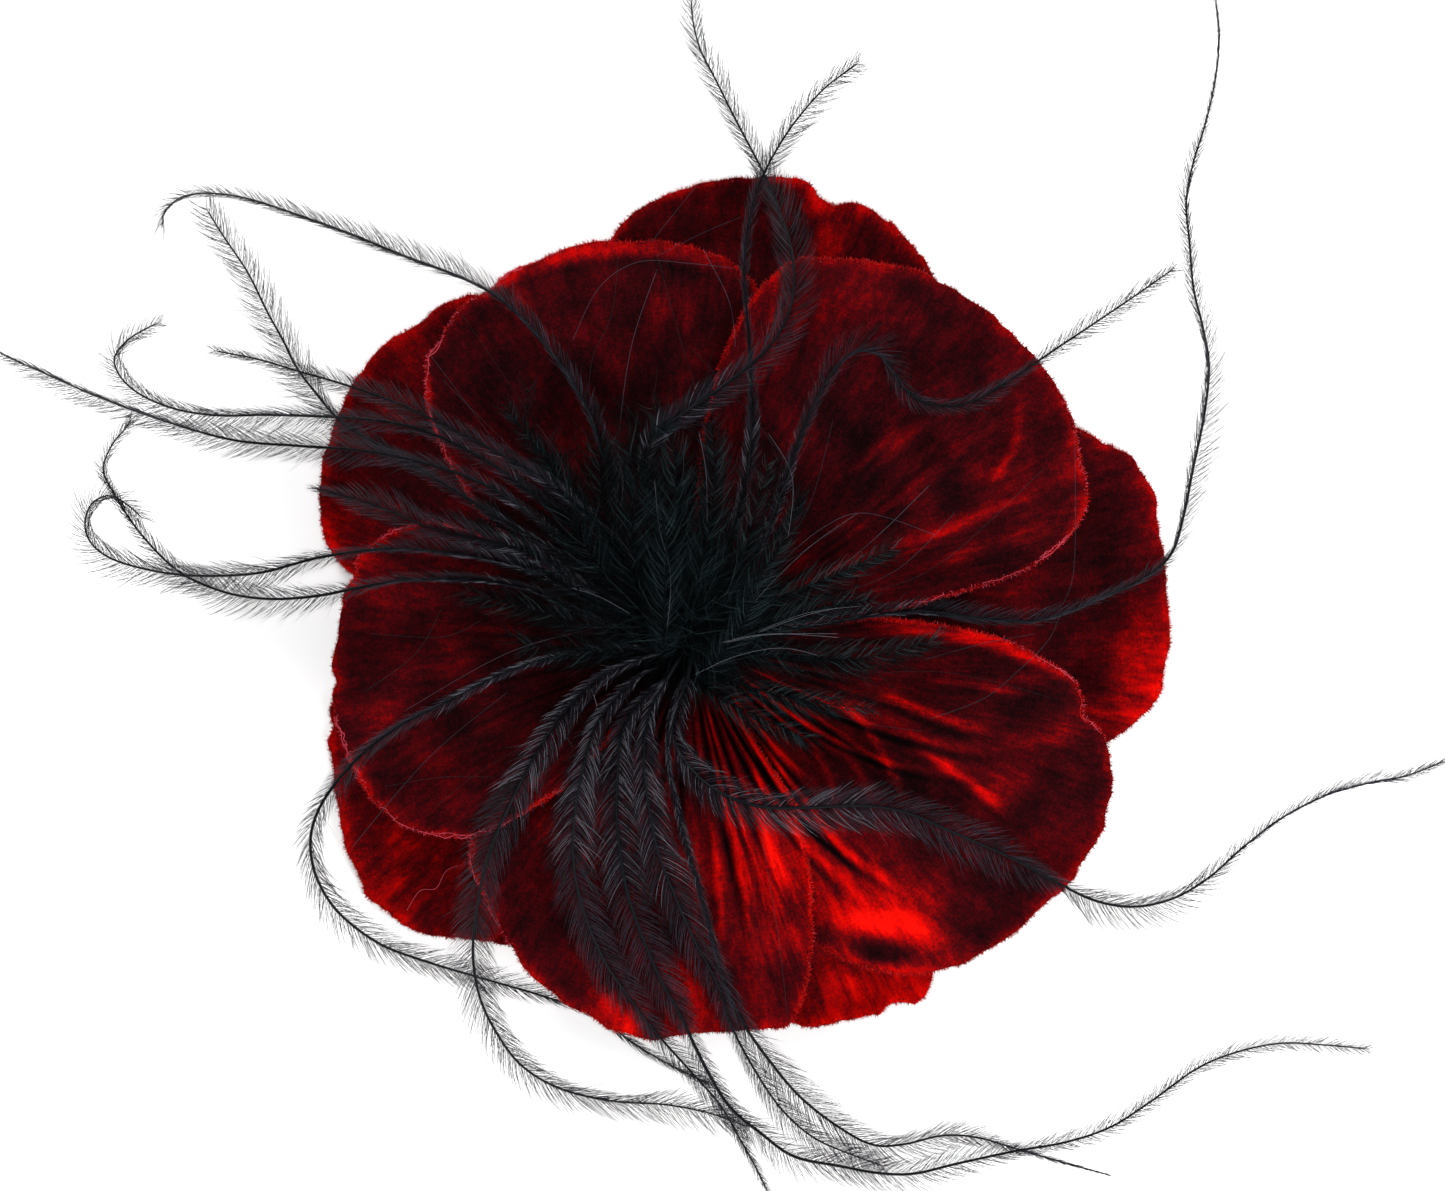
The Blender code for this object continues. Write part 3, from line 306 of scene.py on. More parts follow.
def strands(lines, radii, sides=3):
    """Closed thin tubes, one along each line: lines is (strands, points, 3), radii (strands, points).

    The last point of each is its tip. It returns points, four-sided faces and three-sided faces, and how
    many of each belong to one strand.
    """
    lines, radii = np.asarray(lines, float), np.asarray(radii, float)
    many, steps, _ = lines.shape
    tangent = unit(np.gradient(lines, axis=1))
    across = unit(np.cross(tangent, ODD_AXIS))
    over = np.cross(across, tangent)
    turns = np.arange(sides) * math.tau / sides
    rings = (lines[:, :-1, None, :] + radii[:, :-1, None, None]
             * (across[:, :-1, None, :] * np.cos(turns)[None, None, :, None]
                + over[:, :-1, None, :] * np.sin(turns)[None, None, :, None]))
    each = sides * (steps - 1) + 1
    points = np.concatenate([rings.reshape(many, -1, 3), lines[:, -1:, :]], 1).reshape(-1, 3)
    start = (np.arange(many) * each)[:, None, None]
    step, side = np.arange(steps - 2)[:, None], np.arange(sides)[None, :]
    after = (side + 1) % sides
    walls = np.stack([step * sides + side, step * sides + after,
                      (step + 1) * sides + after, (step + 1) * sides + side], -1).reshape(1, -1, 4)
    last = (steps - 2) * sides
    tips = np.stack([last + side[0], last + after[0], np.full(sides, each - 1)], -1)
    fan = np.arange(1, sides - 1)
    root = np.stack([np.zeros(sides - 2, int), fan + 1, fan], -1)
    threes = np.concatenate([tips, root]).reshape(1, -1, 3)
    return (points, (walls + start).reshape(-1, 4), (threes + start).reshape(-1, 3),
            walls.shape[1], threes.shape[1])


def one_strand(line, radius, slot=0, sides=3, tip=0.0):
    """A batch of one strand, even all along and thin at its end."""
    radii = np.append(np.full(len(line) - 1, radius), tip)
    return line[None], radii[None], np.array([slot]), sides


def strand_piece(name, batches, materials):
    """One mesh from batches of strands: (lines, radii, slot of each strand[, sides])."""
    points, fours, threes, four_slots, three_slots, base = [], [], [], [], [], 0
    for lines, radii, slots, *sides in batches:
        made, walls, ends, wall_count, end_count = strands(lines, radii, *sides)
        points.append(made)
        fours.append(walls + base)
        threes.append(ends + base)
        four_slots.append(np.repeat(slots, wall_count))
        three_slots.append(np.repeat(slots, end_count))
        base += len(made)
    return mesh_piece(name, np.concatenate(points), [np.concatenate(fours), np.concatenate(threes)],
                      materials, np.concatenate(four_slots + three_slots))


# ---- materials ----


def new_material(name, colour, roughness, metallic=0.0, **sockets):
    mat = bpy.data.materials.new(name)
    mat.use_nodes = True
    bsdf = mat.node_tree.nodes["Principled BSDF"]
    bsdf.inputs["Base Color"].default_value = (*colour, 1.0)
    bsdf.inputs["Roughness"].default_value = roughness
    bsdf.inputs["Metallic"].default_value = metallic
    for socket, value in sockets.items():
        bsdf.inputs[socket.replace("_", " ")].default_value = value
    mat.diffuse_color = (*colour, 1.0)
    return mat


class Graph:
    """A short way to add and link nodes."""

    def __init__(self, mat):
        self.tree = mat.node_tree
        self.bsdf = mat.node_tree.nodes["Principled BSDF"]

    def add(self, kind, links=(), **settings):
        node = self.tree.nodes.new(kind)
        for key, value in settings.items():
            if hasattr(node, key):
                setattr(node, key, value)
            else:
                node.inputs[key.replace("_", " ")].default_value = value
        for socket, source in dict(links).items():
            self.tree.links.new(source, node.inputs[socket])
        return node

    def maths(self, operation, first, second):
        node = self.add("ShaderNodeMath", operation=operation)
        for socket, value in zip(node.inputs, (first, second)):
            if isinstance(value, (int, float)):
                socket.default_value = value
            else:
                self.tree.links.new(value, socket)
        return node.outputs[0]

    def ramp(self, source, stops):
        node = self.add("ShaderNodeValToRGB", {"Fac": source})
        ends = node.color_ramp.elements
        while len(ends) < len(stops):
            ends.new(0.5)
        for element, (place, colour) in zip(ends, stops):
            element.position = place
            element.color = (*colour, 1.0)
        return node.outputs["Color"]

    def noise(self, vector, scale, detail=2.0, roughness=0.5):
        """Noise less a half, so that it adds nothing on average."""
        made = self.add("ShaderNodeTexNoise", {"Vector": vector}, Scale=scale, Detail=detail,
                        Roughness=roughness).outputs["Fac"]
        return self.maths("SUBTRACT", made, 0.5)

    def wave(self, vector, scale, direction, distortion=1.0):
        made = self.add("ShaderNodeTexWave", {"Vector": vector}, wave_type="BANDS",
                        bands_direction=direction, Scale=scale, Distortion=distortion, Detail=1.0)
        return made.outputs["Fac"]

    def woven(self, vector, scale, distortion=1.0):
        """Threads that cross at right angles."""
        return self.maths("MAXIMUM", self.wave(vector, scale, "X", distortion),
                          self.wave(vector, scale, "Y", distortion))

    def stretched(self, vector, scale):
        return self.add("ShaderNodeMapping", {"Vector": vector}, Scale=scale).outputs["Vector"]

    def cloth_place(self):
        return self.add("ShaderNodeUVMap", uv_map="Cloth").outputs["UV"]

    def sum(self, first, *weighted):
        for source, weight in weighted:
            first = self.maths("ADD", first, self.maths("MULTIPLY", source, weight))
        return first

    def object_place(self):
        return self.add("ShaderNodeTexCoord").outputs["Object"]

    def bump(self, height, strength, distance):
        node = self.add("ShaderNodeBump", {"Height": height}, Strength=strength, Distance=distance)
        self.link(node.outputs["Normal"], "Normal")

    def link(self, source, socket):
        self.tree.links.new(source, self.bsdf.inputs[socket])


VELVET_STOPS = [  # the pile's lay with its painted highlights and painted shade, and its colour
    (0.00, (0.0020, 0.0004, 0.0006)), (0.16, (0.0085, 0.0008, 0.0014)), (0.30, (0.026, 0.0010, 0.0020)),
    (0.44, (0.066, 0.0010, 0.0022)), (0.58, (0.160, 0.0010, 0.0018)), (0.72, (0.34, 0.0012, 0.0014)),
    (0.87, (0.56, 0.0012, 0.0008)), (1.00, (0.76, 0.0036, 0.0012)),
]


def velvet(name):
    """Crushed pile: the lay attribute, which also holds painted highlights and painted shade, sets how
    bright it is, and noise breaks it up along the pleats.
    """
    mat = new_material(name, (0.06, 0.001, 0.002), 0.8, Sheen_Weight=0.12, Sheen_Roughness=0.3,
                       Sheen_Tint=(0.9, 0.004, 0.006, 1.0), Specular_IOR_Level=0.02)
    g = Graph(mat)
    lay_and_light = g.add("ShaderNodeAttribute", attribute_name="lay_and_light").outputs["Fac"]
    cloth, place = g.cloth_place(), g.object_place()
    streaks = g.noise(g.stretched(cloth, (1.0, 0.25, 1.0)), 900.0, 3.0, 0.6)
    crush = g.maths("MULTIPLY", g.noise(g.stretched(cloth, (1.0, 0.40, 1.0)), 330.0, 4.0, 0.66), lay_and_light)
    tufts, blotches = g.noise(place, 2600.0, 2.0, 0.7), g.noise(place, 800.0, 4.0, 0.65)
    patches = g.noise(place, 190.0, 3.0, 0.6)
    weave = g.maths("SUBTRACT", g.wave(cloth, 480.0, "Y", 3.0), 0.5)
    value = g.sum(lay_and_light, (crush, 1.45), (streaks, 0.26), (tufts, 0.42), (blotches, 0.32), (patches, 0.16),
                  (weave, 0.02))
    g.link(g.ramp(value, VELVET_STOPS), "Base Color")
    g.bump(g.sum(g.noise(place, 1900.0, 3.0, 0.7), (streaks, 0.8)), 0.6, 0.00025)
    return mat


WOVEN_STOPS = [(0.2, (0.030, 0.001, 0.002)), (0.55, (0.080, 0.002, 0.005)), (0.9, (0.15, 0.006, 0.010))]


def woven_back(name):
    """The velvet's ground weave, seen on the underside and at the cut edges."""
    mat = new_material(name, (0.07, 0.003, 0.006), 0.9, Sheen_Weight=0.1, Sheen_Roughness=0.5,
                       Sheen_Tint=(0.6, 0.02, 0.04, 1), Specular_IOR_Level=0.02)
    g = Graph(mat)
    cloth = g.cloth_place()
    weave = g.woven(cloth, 560.0)
    value = g.sum(g.maths("MULTIPLY", weave, 0.5), (g.noise(cloth, 60.0, 3.0, 0.6), 0.6))
    g.link(g.ramp(g.maths("ADD", value, 0.2), WOVEN_STOPS), "Base Color")
    g.bump(weave, 0.5, 0.00012)
    return mat


FLECKS = 0.35


def cloth_look(name, colour, weave_scale, bump):
    """A plain dark cloth: fibres in patches, and a weave if it has one."""
    mat = new_material(name, colour, 0.92, Sheen_Weight=0.12, Sheen_Roughness=0.5, Specular_IOR_Level=0.15)
    g = Graph(mat)
    place = g.object_place()
    fibres = g.maths("ADD", g.noise(place, 900.0, 4.0, 0.7), 0.5)
    value = g.sum(fibres, (g.noise(place, 120.0, 2.0, 0.5), FLECKS))
    if weave_scale:
        value = g.sum(g.maths("MULTIPLY", value, 0.5), (g.woven(place, weave_scale, 0.6), 0.5))
    dark, light = [c * 0.45 for c in colour], [c * 1.9 + 0.002 for c in colour]
    g.link(g.ramp(value, [(0.25, dark), (0.8, light)]), "Base Color")
    g.bump(value, 0.7, bump)
    return mat


def metal_look(name, colour, roughness, stretch=(1.0, 1.0, 1.0)):
    """Plated metal with faint drawing lines, small scuffs and uneven polish."""
    mat = new_material(name, colour, roughness, 1.0)
    g = Graph(mat)
    place = g.object_place()
    drawn, scuffs = g.noise(g.stretched(place, stretch), 2600.0, 3.0, 0.6), g.noise(place, 240.0, 4.0, 0.65)
    g.link(g.sum(g.maths("ADD", g.maths("MULTIPLY", drawn, 0.16), roughness), (scuffs, 0.30)), "Roughness")
    g.bump(g.sum(drawn, (scuffs, 0.7)), 0.22, 0.00006)
    return mat


def glue_look(name):
    mat = new_material(name, (0.05, 0.045, 0.04), 0.55, Specular_IOR_Level=0.2)
    g = Graph(mat)
    place = g.object_place()
    cloud = g.maths("ADD", g.noise(place, 420.0, 3.0, 0.6), 0.5)
    g.link(g.ramp(cloud, [(0.3, (0.008, 0.007, 0.006)), (0.75, (0.030, 0.026, 0.024))]), "Base Color")
    g.bump(g.noise(place, 260.0, 2.0, 0.5), 0.6, 0.0004)
    return mat


def hair(name, colour, roughness=0.5, level=0.12):
    return new_material(name, colour, roughness, Specular_IOR_Level=level)


# Strand pieces take their colours from these by slot number: a batch's slots point into its list.
# The bright and pink pile fibres are painted glints on the edge fibres.
PILE = [hair("pile_deep", (0.070, 0.0010, 0.0022), 0.7, 0.04),
        hair("pile_red", (0.30, 0.0025, 0.0030), 0.7, 0.04),
        hair("pile_bright", (0.62, 0.012, 0.010), 0.7, 0.04),
        hair("pile_pink_glint", (0.60, 0.060, 0.095), 0.7, 0.1)]
PILE_DEEP, PILE_RED, PILE_BRIGHT, PILE_PINK_GLINT = range(4)
BARBS = [hair("barb_black", (0.0045, 0.0055, 0.0075)),
         hair("barb_slate", (0.016, 0.018, 0.026)),
         hair("barb_mauve", (0.046, 0.038, 0.054)),
         # The last of these is a painted glint: silver-blue barbules.
         hair("barb_glint", (0.165, 0.170, 0.205), 0.42, 0.25)]
BARB_BLACK, BARB_SLATE, BARB_MAUVE, BARB_GLINT = range(4)
DOWN = [hair("down_black", (0.0008, 0.0015, 0.0020), 0.5, 0.05),
        hair("down_teal", (0.0050, 0.0125, 0.0150), 0.5, 0.08),
        hair("down_grey", (0.022, 0.042, 0.046), 0.45, 0.15)]

# ---- the velvet petals ----

GRID = {"front": (196, 112), "back": (150, 84)}  # columns and rows of each petal's mesh
HALF = 0.34  # half the cloth's thickness away from its edge
FOLDS = [  # on the front petals: centre line, half width, height, and the painted highlight on its crest
    ([(24, 23), (33, 31), (37, 34)], 1.2, 0.5, 0.16),
    ([(25, 26), (28, 29), (31, 32)], 0.9, 0.5, 0.20),
    ([(46, 24), (50, 30), (51, 38)], 0.9, 0.7, 0.26),
    ([(30, 20), (38, 26), (45, 33)], 1.0, 0.6, 0.14),
    ([(28, 12), (36, 15), (44, 19), (51, 22)], 1.1, 0.8, 0.24),
    ([(33, 10), (44, 14), (56, 17)], 1.2, 0.7, 0.15),
    ([(26, 4), (36, 6), (50, 9)], 1.6, 0.7, 0.06),
    ([(27, 2.4), (36, 1.2), (44, 0.2), (52, -2.4), (56, -4.6)], 1.3, 1.0, 0.42),
    ([(38, -6), (44, -6.8), (50, -8)], 1.0, 0.6, 0.22),
    ([(30, -8.5), (38, -12), (45, -14)], 1.0, 0.7, 0.34),
    ([(23.5, -10), (27, -13.5), (30.6, -20), (33, -25)], 0.9, 0.8, 0.46),
    ([(22, -15.5), (26, -20.5), (29, -27)], 0.8, 0.6, 0.28),
    ([(18.4, -15.5), (21.5, -22), (23.5, -30)], 0.8, 0.7, 0.34),
    ([(35, -16.5), (42, -21.3), (47.5, -25.8)], 1.1, 1.0, 0.50),
    ([(44, -15), (52, -15.5), (59, -13.5)], 1.3, 0.6, 0.16),
    ([(11.2, -14), (14.6, -23), (17.5, -33), (19.5, -41)], 0.8, 0.8, 0.44),
    ([(9, -14), (10.6, -23), (12, -33), (14, -42)], 0.8, 0.8, 0.42),
    ([(20, -42.4), (27, -43.2), (35, -44.8), (38.4, -48)], 2.3, 1.0, 0.44),
    ([(23, -46.6), (27, -49.7), (33, -50.8)], 0.9, 0.2, 0.30),
    ([(26, -30), (29, -36), (30, -40)], 1.0, 0.5, 0.20),
    ([(3.5, -28), (4.5, -38), (5, -46)], 0.8, 0.7, 0.30),
    ([(6.8, -28), (8.4, -40), (10.5, -54)], 0.8, 0.7, 0.24),
    ([(0.5, -28), (0.8, -38), (0.6, -46)], 0.8, 0.5, 0.16),
    ([(-14, -55), (-11, -58), (-9, -61)], 2.0, 0.7, 0.34),
    ([(-2, -50), (1, -55), (3, -60)], 1.6, 0.5, 0.24),
    ([(-44, 2), (-47, 8), (-50, 12)], 2.2, 0.7, 0.06),
    ([(-30, -3), (-40, -5), (-50, -4)], 2.4, 0.7, 0.05),
    ([(-5.5, 46), (-5, 52), (-5.5, 57)], 1.5, 0.5, 0.16),
    ([(-31, 54.5), (-23, 58), (-12, 60), (-3, 59.4), (3, 57.6)], 1.3, 0.1, 0.26),
    ([(12, 62), (20, 61.8), (28, 59.6)], 1.2, 0.1, 0.16),
    ([(60, 34), (65, 27), (67, 19)], 1.2, 0.1, 0.14),
    ([(-1, 43), (-0.6, 49), (-1.2, 55)], 1.0, 0.4, 0.10),
    ([(-11, 38), (-13, 45), (-14, 52)], 1.6, 0.5, 0.08),
]
FRONT_PAINTED_LIGHT = [  # painted highlights and painted shade in soft spots: X, Y, reach, strength
    (24, -38, 9, 0.20), (15, -33, 6, 0.12), (34, -46, 6, 0.26), (30, -41, 5, 0.14), (12, -30, 5, 0.12),
    (28.3, -48.3, 2.2, -0.34), (31.6, -48.7, 1.8, -0.26), (25.4, -47.6, 1.5, -0.12), (48, -25, 4, 0.16),
    (54, -3.4, 4, 0.14), (4, -36, 7, 0.12), (10, -48, 6, 0.06), (-14, 60, 6, 0.08), (-26, 57, 4, 0.06),
    (24, 24, 9, -0.08), (-4, 52, 5, 0.08), (-16, 45, 8, -0.12), (50, -13, 6, -0.10), (22, 56, 7, 0.10),
    (34, 52, 6, 0.06), (38, 36, 6, 0.05), (-11, -58, 4, 0.12),
    (1, -56, 4, 0.14), (60, 27, 4, 0.10), (52, -17, 7, 0.06), (58, -30, 6, 0.05), (-30, -30, 5, -0.05),
    (-48, -12, 6, 0.06), (42, -9, 4, -0.10), (55, -9.5, 4, -0.10), (34, -22, 4, -0.10), (40, -30, 5, -0.06),
    (52, -24, 3, -0.14), (44, 3, 6, -0.08), (40, 22, 3, -0.08), (56, -21, 2.4, -0.10), (46, -34, 6, -0.10),
]
# Painted highlights and painted shade in soft spots on the back petals: X, Y, reach, strength.
BACK_PAINTED_LIGHT = [
    (70.5, -6, 4, 0.34), (68, -11.6, 3.4, 0.32), (72.5, 1, 3.4, 0.26), (70, 4.5, 3, 0.16),
    (63, -12.6, 3, 0.22),
    (20, 67.5, 2.2, 0.34), (21, 62, 2.4, 0.24), (21.6, 57, 3, 0.14), (24, -54, 4, 0.24), (34, -53, 4, 0.34),
    (29, -57, 5, 0.22), (35.5, -56, 3, 0.16), (-43, -31, 5, 0.22), (-46, -37, 5, 0.16), (-40, -39, 4, 0.14),
    (-36, -33, 3, 0.10), (-57, 17, 4, 0.18), (-48, 40, 10, 0.05), (65, 31, 5, 0.12), (62, 4, 7, -0.10),
    (68, 20, 6, 0.04), (-50, -20, 5, 0.08),
]
GATHER_COUNT = {"front": 92, "back": 60}


def gathers(layer):
    """Creases that run out from the hub: bearing, bend, where each ends, height and half width."""
    local = np.random.default_rng(31 if layer == "front" else 32)
    many = GATHER_COUNT[layer]
    bearing = (np.arange(many) + local.uniform(-0.42, 0.42, many)) * 360 / many - 180
    end = np.where(local.uniform(0, 1, many) < 0.35, local.uniform(42, 60, many),
                   local.uniform(24, 42, many))
    end = np.where(np.abs(bearing + 48) < 36, np.minimum(end * 1.22, 56), end)
    strong = 0.55 + 0.65 * np.exp(-((bearing + 45) / 46) ** 2) + 0.25 * np.exp(-((bearing - 28) / 26) ** 2)
    size = local.uniform(0.30, 0.85, many) * (strong if layer == "front" else 0.6)
    return bearing, local.normal(0, 3.2, many), end, size, local.uniform(0.55, 1.05, many)


# Painted highlight on each gather's crest, the groove's depth, and painted shade in the groove.
CREST_HIGHLIGHT, GROOVE_DEPTH, GROOVE_SHADE = 0.34, 0.35, 0.46


def pleats(x, y, layer):
    """Rise from the gathers, with a painted highlight on each crest and painted shade in each groove. A
    layer's petals share them, so none cuts its neighbour.
    """
    radius, angle = np.hypot(x, y), bearing_of(x, y)
    rise, lay_and_light = np.zeros_like(x), np.zeros_like(x)
    for bearing, bend, end, size, width in zip(*gathers(layer)):
        turn = (angle - bearing - bend * (radius / 40) ** 2 + 180) % 360 - 180
        window = smoothstep((radius - 8) / 5) * (1 - smoothstep((radius - end * 0.55) / (end * 0.45)))
        near = np.abs(turn) * window > 0
        offset = np.radians(np.where(near, turn, 90)) * radius
        wide = width * (0.34 + radius / 58)
        crest = np.exp(-(offset / wide) ** 2)
        groove = np.exp(-((offset + 1.5 * wide) / (0.55 * wide)) ** 2)
        rise += size * window * (crest - GROOVE_DEPTH * groove)
        lay_and_light += size * window * (CREST_HIGHLIGHT * crest - GROOVE_SHADE * groove)
    return rise, lay_and_light


RIDGE_STEPS = 30


def ridge(x, y, line, width):
    """How near a point is to a fold's line: 1 on its middle, less towards its ends, and 0 far away."""
    near, weight = np.full_like(x, 1e9), np.zeros_like(x)
    ends = 0.25 + 0.75 * np.sin(np.linspace(0.1, math.pi - 0.1, RIDGE_STEPS)) ** 0.7
    for (px, py), end in zip(through(line, RIDGE_STEPS), ends):
        distance = (x - px) ** 2 + (y - py) ** 2
        closer = distance < near
        near, weight = np.where(closer, distance, near), np.where(closer, end, weight)
    return weight * np.exp(-near / width**2)


def pinwheel(x, y, middle):
    """A petal's rise from one side to the other, by which it overlaps the next."""
    return PINWHEEL_LIFT * ((bearing_of(x, y) - middle + 180) % 360 - 180) / 36


def front_level(x, y, middle):
    radius, angle = np.hypot(x, y), bearing_of(x, y)
    cup = FRONT_HUB_Z + FRONT_RISE * smoothstep((radius - 8) / 42) - 1.6 * smoothstep((radius - 56) / 12)
    wave = 0.7 * smoothstep((radius - 20) / 30) * np.sin(np.radians(5 * angle + 40))
    level = cup + wave + pinwheel(x, y, middle) + pleats(x, y, "front")[0]
    for line, width, height, _ in FOLDS:
        level += height * ridge(x, y, line, width * 1.2)
    return level + 0.35 * smoothstep((radius - 30) / 20) * field(x, y, 9, 5)


def back_level(x, y, middle, reach):
    radius = np.hypot(x, y)
    share = smoothstep((radius - BACK_DROOP_START) / (reach - BACK_DROOP_START))
    level = BACK_HUB_Z + (BACK_RIM_Z - BACK_HUB_Z) * share + pinwheel(x, y, middle)
    level += pleats(x, y, "back")[0] + 0.8 * smoothstep((radius - 42) / 20) * field(x, y, 8, 9)
    floor_gap = HALF + 0.2 + 0.5 * smoothstep((radius - 40) / 20) * np.maximum(1 + field(x, y, 7, 12), 0)
    return np.maximum(level, floor_gap)


def petal_plan(outline, seed, columns, rows):
    """X and Y of the petal's grid, rows from the gathered base to the cut edge, and its middle angle."""
    rim = through(polar(outline), columns)
    ragged = wander(columns, columns / 30, 0.20, seed) + wander(columns, columns / 90, 0.11, seed + 1)
    rim = rim + unit(rim) * ragged[:, None]
    middle = (outline[0][0] + outline[-1][0]) / 2
    sense = math.copysign(1.0, outline[0][0] - outline[-1][0])
    angles = np.radians(middle + (0.5 - np.linspace(0, 1, columns)) * PETAL_BASE_SPREAD * sense)
    base = PETAL_BASE_RADIUS * np.stack([np.cos(angles), np.sin(angles)], 1)
    share = np.linspace(0, 1, rows)[:, None, None] ** 0.94
    grid = base[None] * (1 - share) + rim[None] * share
    return grid[..., 0], grid[..., 1], middle


# Strength and width of the painted highlight along the cut edge.
RIM_HIGHLIGHT, RIM_HIGHLIGHT_WIDTH = 0.24, 1.2


def petal_lay_and_light(x, y, layer, seed, lift):
    """How far the pile leans at each point, 0 dark and upright to 1 crushed and bright, with painted light
    added: painted highlights on crests, folds and the cut edge, and painted shade in grooves, beside folds
    and near the hub.
    """
    radius = np.hypot(x, y)
    lay_and_light = lift + 0.055 * field(x, y, 15, 40 + seed) + 0.045 * field(x, y, 5, 60 + seed)
    crease_light = pleats(x, y, layer)[1]
    bearing = bearing_of(x, y)
    # lively sets how strong the painted crease light is at each bearing, and weakens the painted shade near
    # the hub.
    lively = 0.5
    if layer == "front":
        lively = 0.34 + np.exp(-((bearing + 52) / 36) ** 2) + 0.4 * np.exp(-((bearing - 30) / 20) ** 2)
    lay_and_light += lively * 1.2 * crease_light
    # Painted shade near the hub.
    lay_and_light -= 0.20 * (1 - smoothstep((radius - 12) / 24)) * (1.2 - lively)
    # Painted highlights and painted shade in soft spots.
    for gx, gy, reach, strength in FRONT_PAINTED_LIGHT if layer == "front" else BACK_PAINTED_LIGHT:
        lay_and_light += strength * np.exp(-((x - gx) ** 2 + (y - gy) ** 2) / reach**2)
    if layer == "front":
        # Painted highlight along each fold's crest, and painted shade along the side beside it.
        for line, width, _, crest_light in FOLDS:
            lay_and_light += crest_light * ridge(x, y, line, width)
            beside = [(px + 0.5 * width, py - 1.5 * width) for px, py in line]
            lay_and_light -= 0.35 * crest_light * ridge(x, y, beside, width * 0.8)
    # Painted highlight along the cut edge.
    edge = np.hypot(x[-1] - x, y[-1] - y)
    return lay_and_light + (RIM_HIGHLIGHT + 0.10 * field(x, y, 7, seed)) * np.exp(-(edge / RIM_HIGHLIGHT_WIDTH) ** 1.5)


def outside_edge(columns, rows):
    """The grid's outermost points, in order round it."""
    count = rows * columns
    first, right = np.arange(columns), np.arange(2, rows + 1) * columns - 1
    last, left = np.arange(count - 2, count - columns - 1, -1), np.arange(rows - 2, 0, -1) * columns
    return np.concatenate([first, right, last, left])


LIP, UNDER_LAY, LIP_HIGHLIGHT = 0.22, 0.2, 0.08  # how far the cut edge bulges, and its change of lay: the underside's lay, and a painted highlight on the cut edge


def petal_mesh(name, x, y, level, lay_and_light, materials):
    """A closed sheet from the grid: pile side, woven underside, and a rounded cut edge."""
    rows, columns = x.shape
    count = rows * columns
    top = np.stack([x, y, level + HALF], -1).reshape(-1, 3)
    under = np.stack([x, y, level - HALF], -1).reshape(-1, 3)
    row, column = np.arange(rows - 1)[:, None], np.arange(columns - 1)[None, :]
    corner = (row * columns + column).ravel()
    quads = np.stack([corner, corner + 1, corner + columns + 1, corner + columns], 1)
    edge = outside_edge(columns, rows)
    after = np.roll(edge, -1)
    flat = top[:, :2]
    along = flat[after] - flat[np.roll(edge, 1)]
    outward = unit(np.stack([along[:, 1], -along[:, 0]], 1))
    if ((flat[edge] - flat.mean(0)) * outward).sum() < 0:
        outward = -outward
    lip = np.column_stack([flat[edge] + LIP * outward, level.ravel()[edge]])
    lips = 2 * count + np.arange(len(edge))
    lips_after = np.roll(lips, -1)
    upper = np.stack([edge, lips, lips_after, after], 1)
    lower = np.stack([lips, edge + count, after + count, lips_after], 1)
    faces = np.concatenate([quads, quads[:, ::-1] + count, upper, lower])
    v = top[quads[0]]
    if np.cross(v[1] - v[0], v[2] - v[0])[2] < 0:
        faces = faces[:, ::-1]
    kinds = np.repeat([0, 1, 0, 1], [len(quads), len(quads), len(upper), len(lower)])
    obj = mesh_piece(name, np.concatenate([top, under, lip]), [faces], materials, kinds)
    values = np.concatenate([lay_and_light.ravel(), np.full(count, UNDER_LAY), lay_and_light.ravel()[edge] + LIP_HIGHLIGHT])
    attribute = obj.data.attributes.new("lay_and_light", "FLOAT", "POINT")
    attribute.data.foreach_set("value", values.astype(np.float32))
    add_cloth_uv(obj, x, y, edge)
    return obj


def add_cloth_uv(obj, x, y, edge):
    """Two layouts: distances on the flat cloth for its weave, and a sheet for each side for baking."""
    rows, columns = x.shape
    across = np.tile(np.linspace(0, 1, columns), (rows, 1))
    width = np.hypot(np.gradient(x, axis=1), np.gradient(y, axis=1)).sum(1).max()
    cloth = np.stack([across * width * MM, np.hypot(x, y) * MM], -1).reshape(-1, 2)
    sheet = np.stack([across, np.tile(np.linspace(0, 1, rows)[:, None], (1, columns))], -1).reshape(-1, 2)
    sheet = 0.98 * sheet * [0.48, 1.0]
    corners = np.empty(len(obj.data.loops), np.int32)
    obj.data.loops.foreach_get("vertex_index", corners)
    painted = np.concatenate([sheet + [0.01, 0.01], sheet + [0.52, 0.01], sheet[edge] + [0.01, 0.01]])
    for label, values in (("Cloth", np.concatenate([cloth, cloth, cloth[edge]])), ("OFBake", painted)):
        layer = obj.data.uv_layers.new(name=label)
        layer.data.foreach_set("uv", values[corners].astype(np.float32).ravel())
    obj.data.uv_layers.active = obj.data.uv_layers["Cloth"]


FRAYED = {  # where a petal's cut edge frays: from one bearing to another, and how many loose threads
    "front_petal_1": [(108, 152, 9)], "front_petal_2": [(8, 34, 7)], "front_petal_3": [(-14, 0, 4)],
    "front_petal_5": [(153, 168, 3), (192, 229, 8)], "front_petal_4": [(-140, -120, 2)],
}
LOOSE_THREADS = [[(-44, -42), (-42, -39), (-39.5, -38.6), (-38, -36), (-36, -35)],
                 [(-35, -29.5), (-34.6, -31), (-33.6, -32), (-33, -34)]]
PILE_DENSITY = 30  # fibres for each millimetre of cut edge


def rim_path(x, y, level, lay_and_light):
    """The cut edge as a polyline: X, Y, Z and lay with its painted light."""
    start = x.shape[0] // 3
    sides = [np.stack([a[start:, column] for a in (x, y, level, lay_and_light)], 1) for column in (0, -1)]
    middle = np.stack([a[-1] for a in (x, y, level, lay_and_light)], 1)
    return np.concatenate([sides[0], middle[1:], sides[1][::-1][1:]])


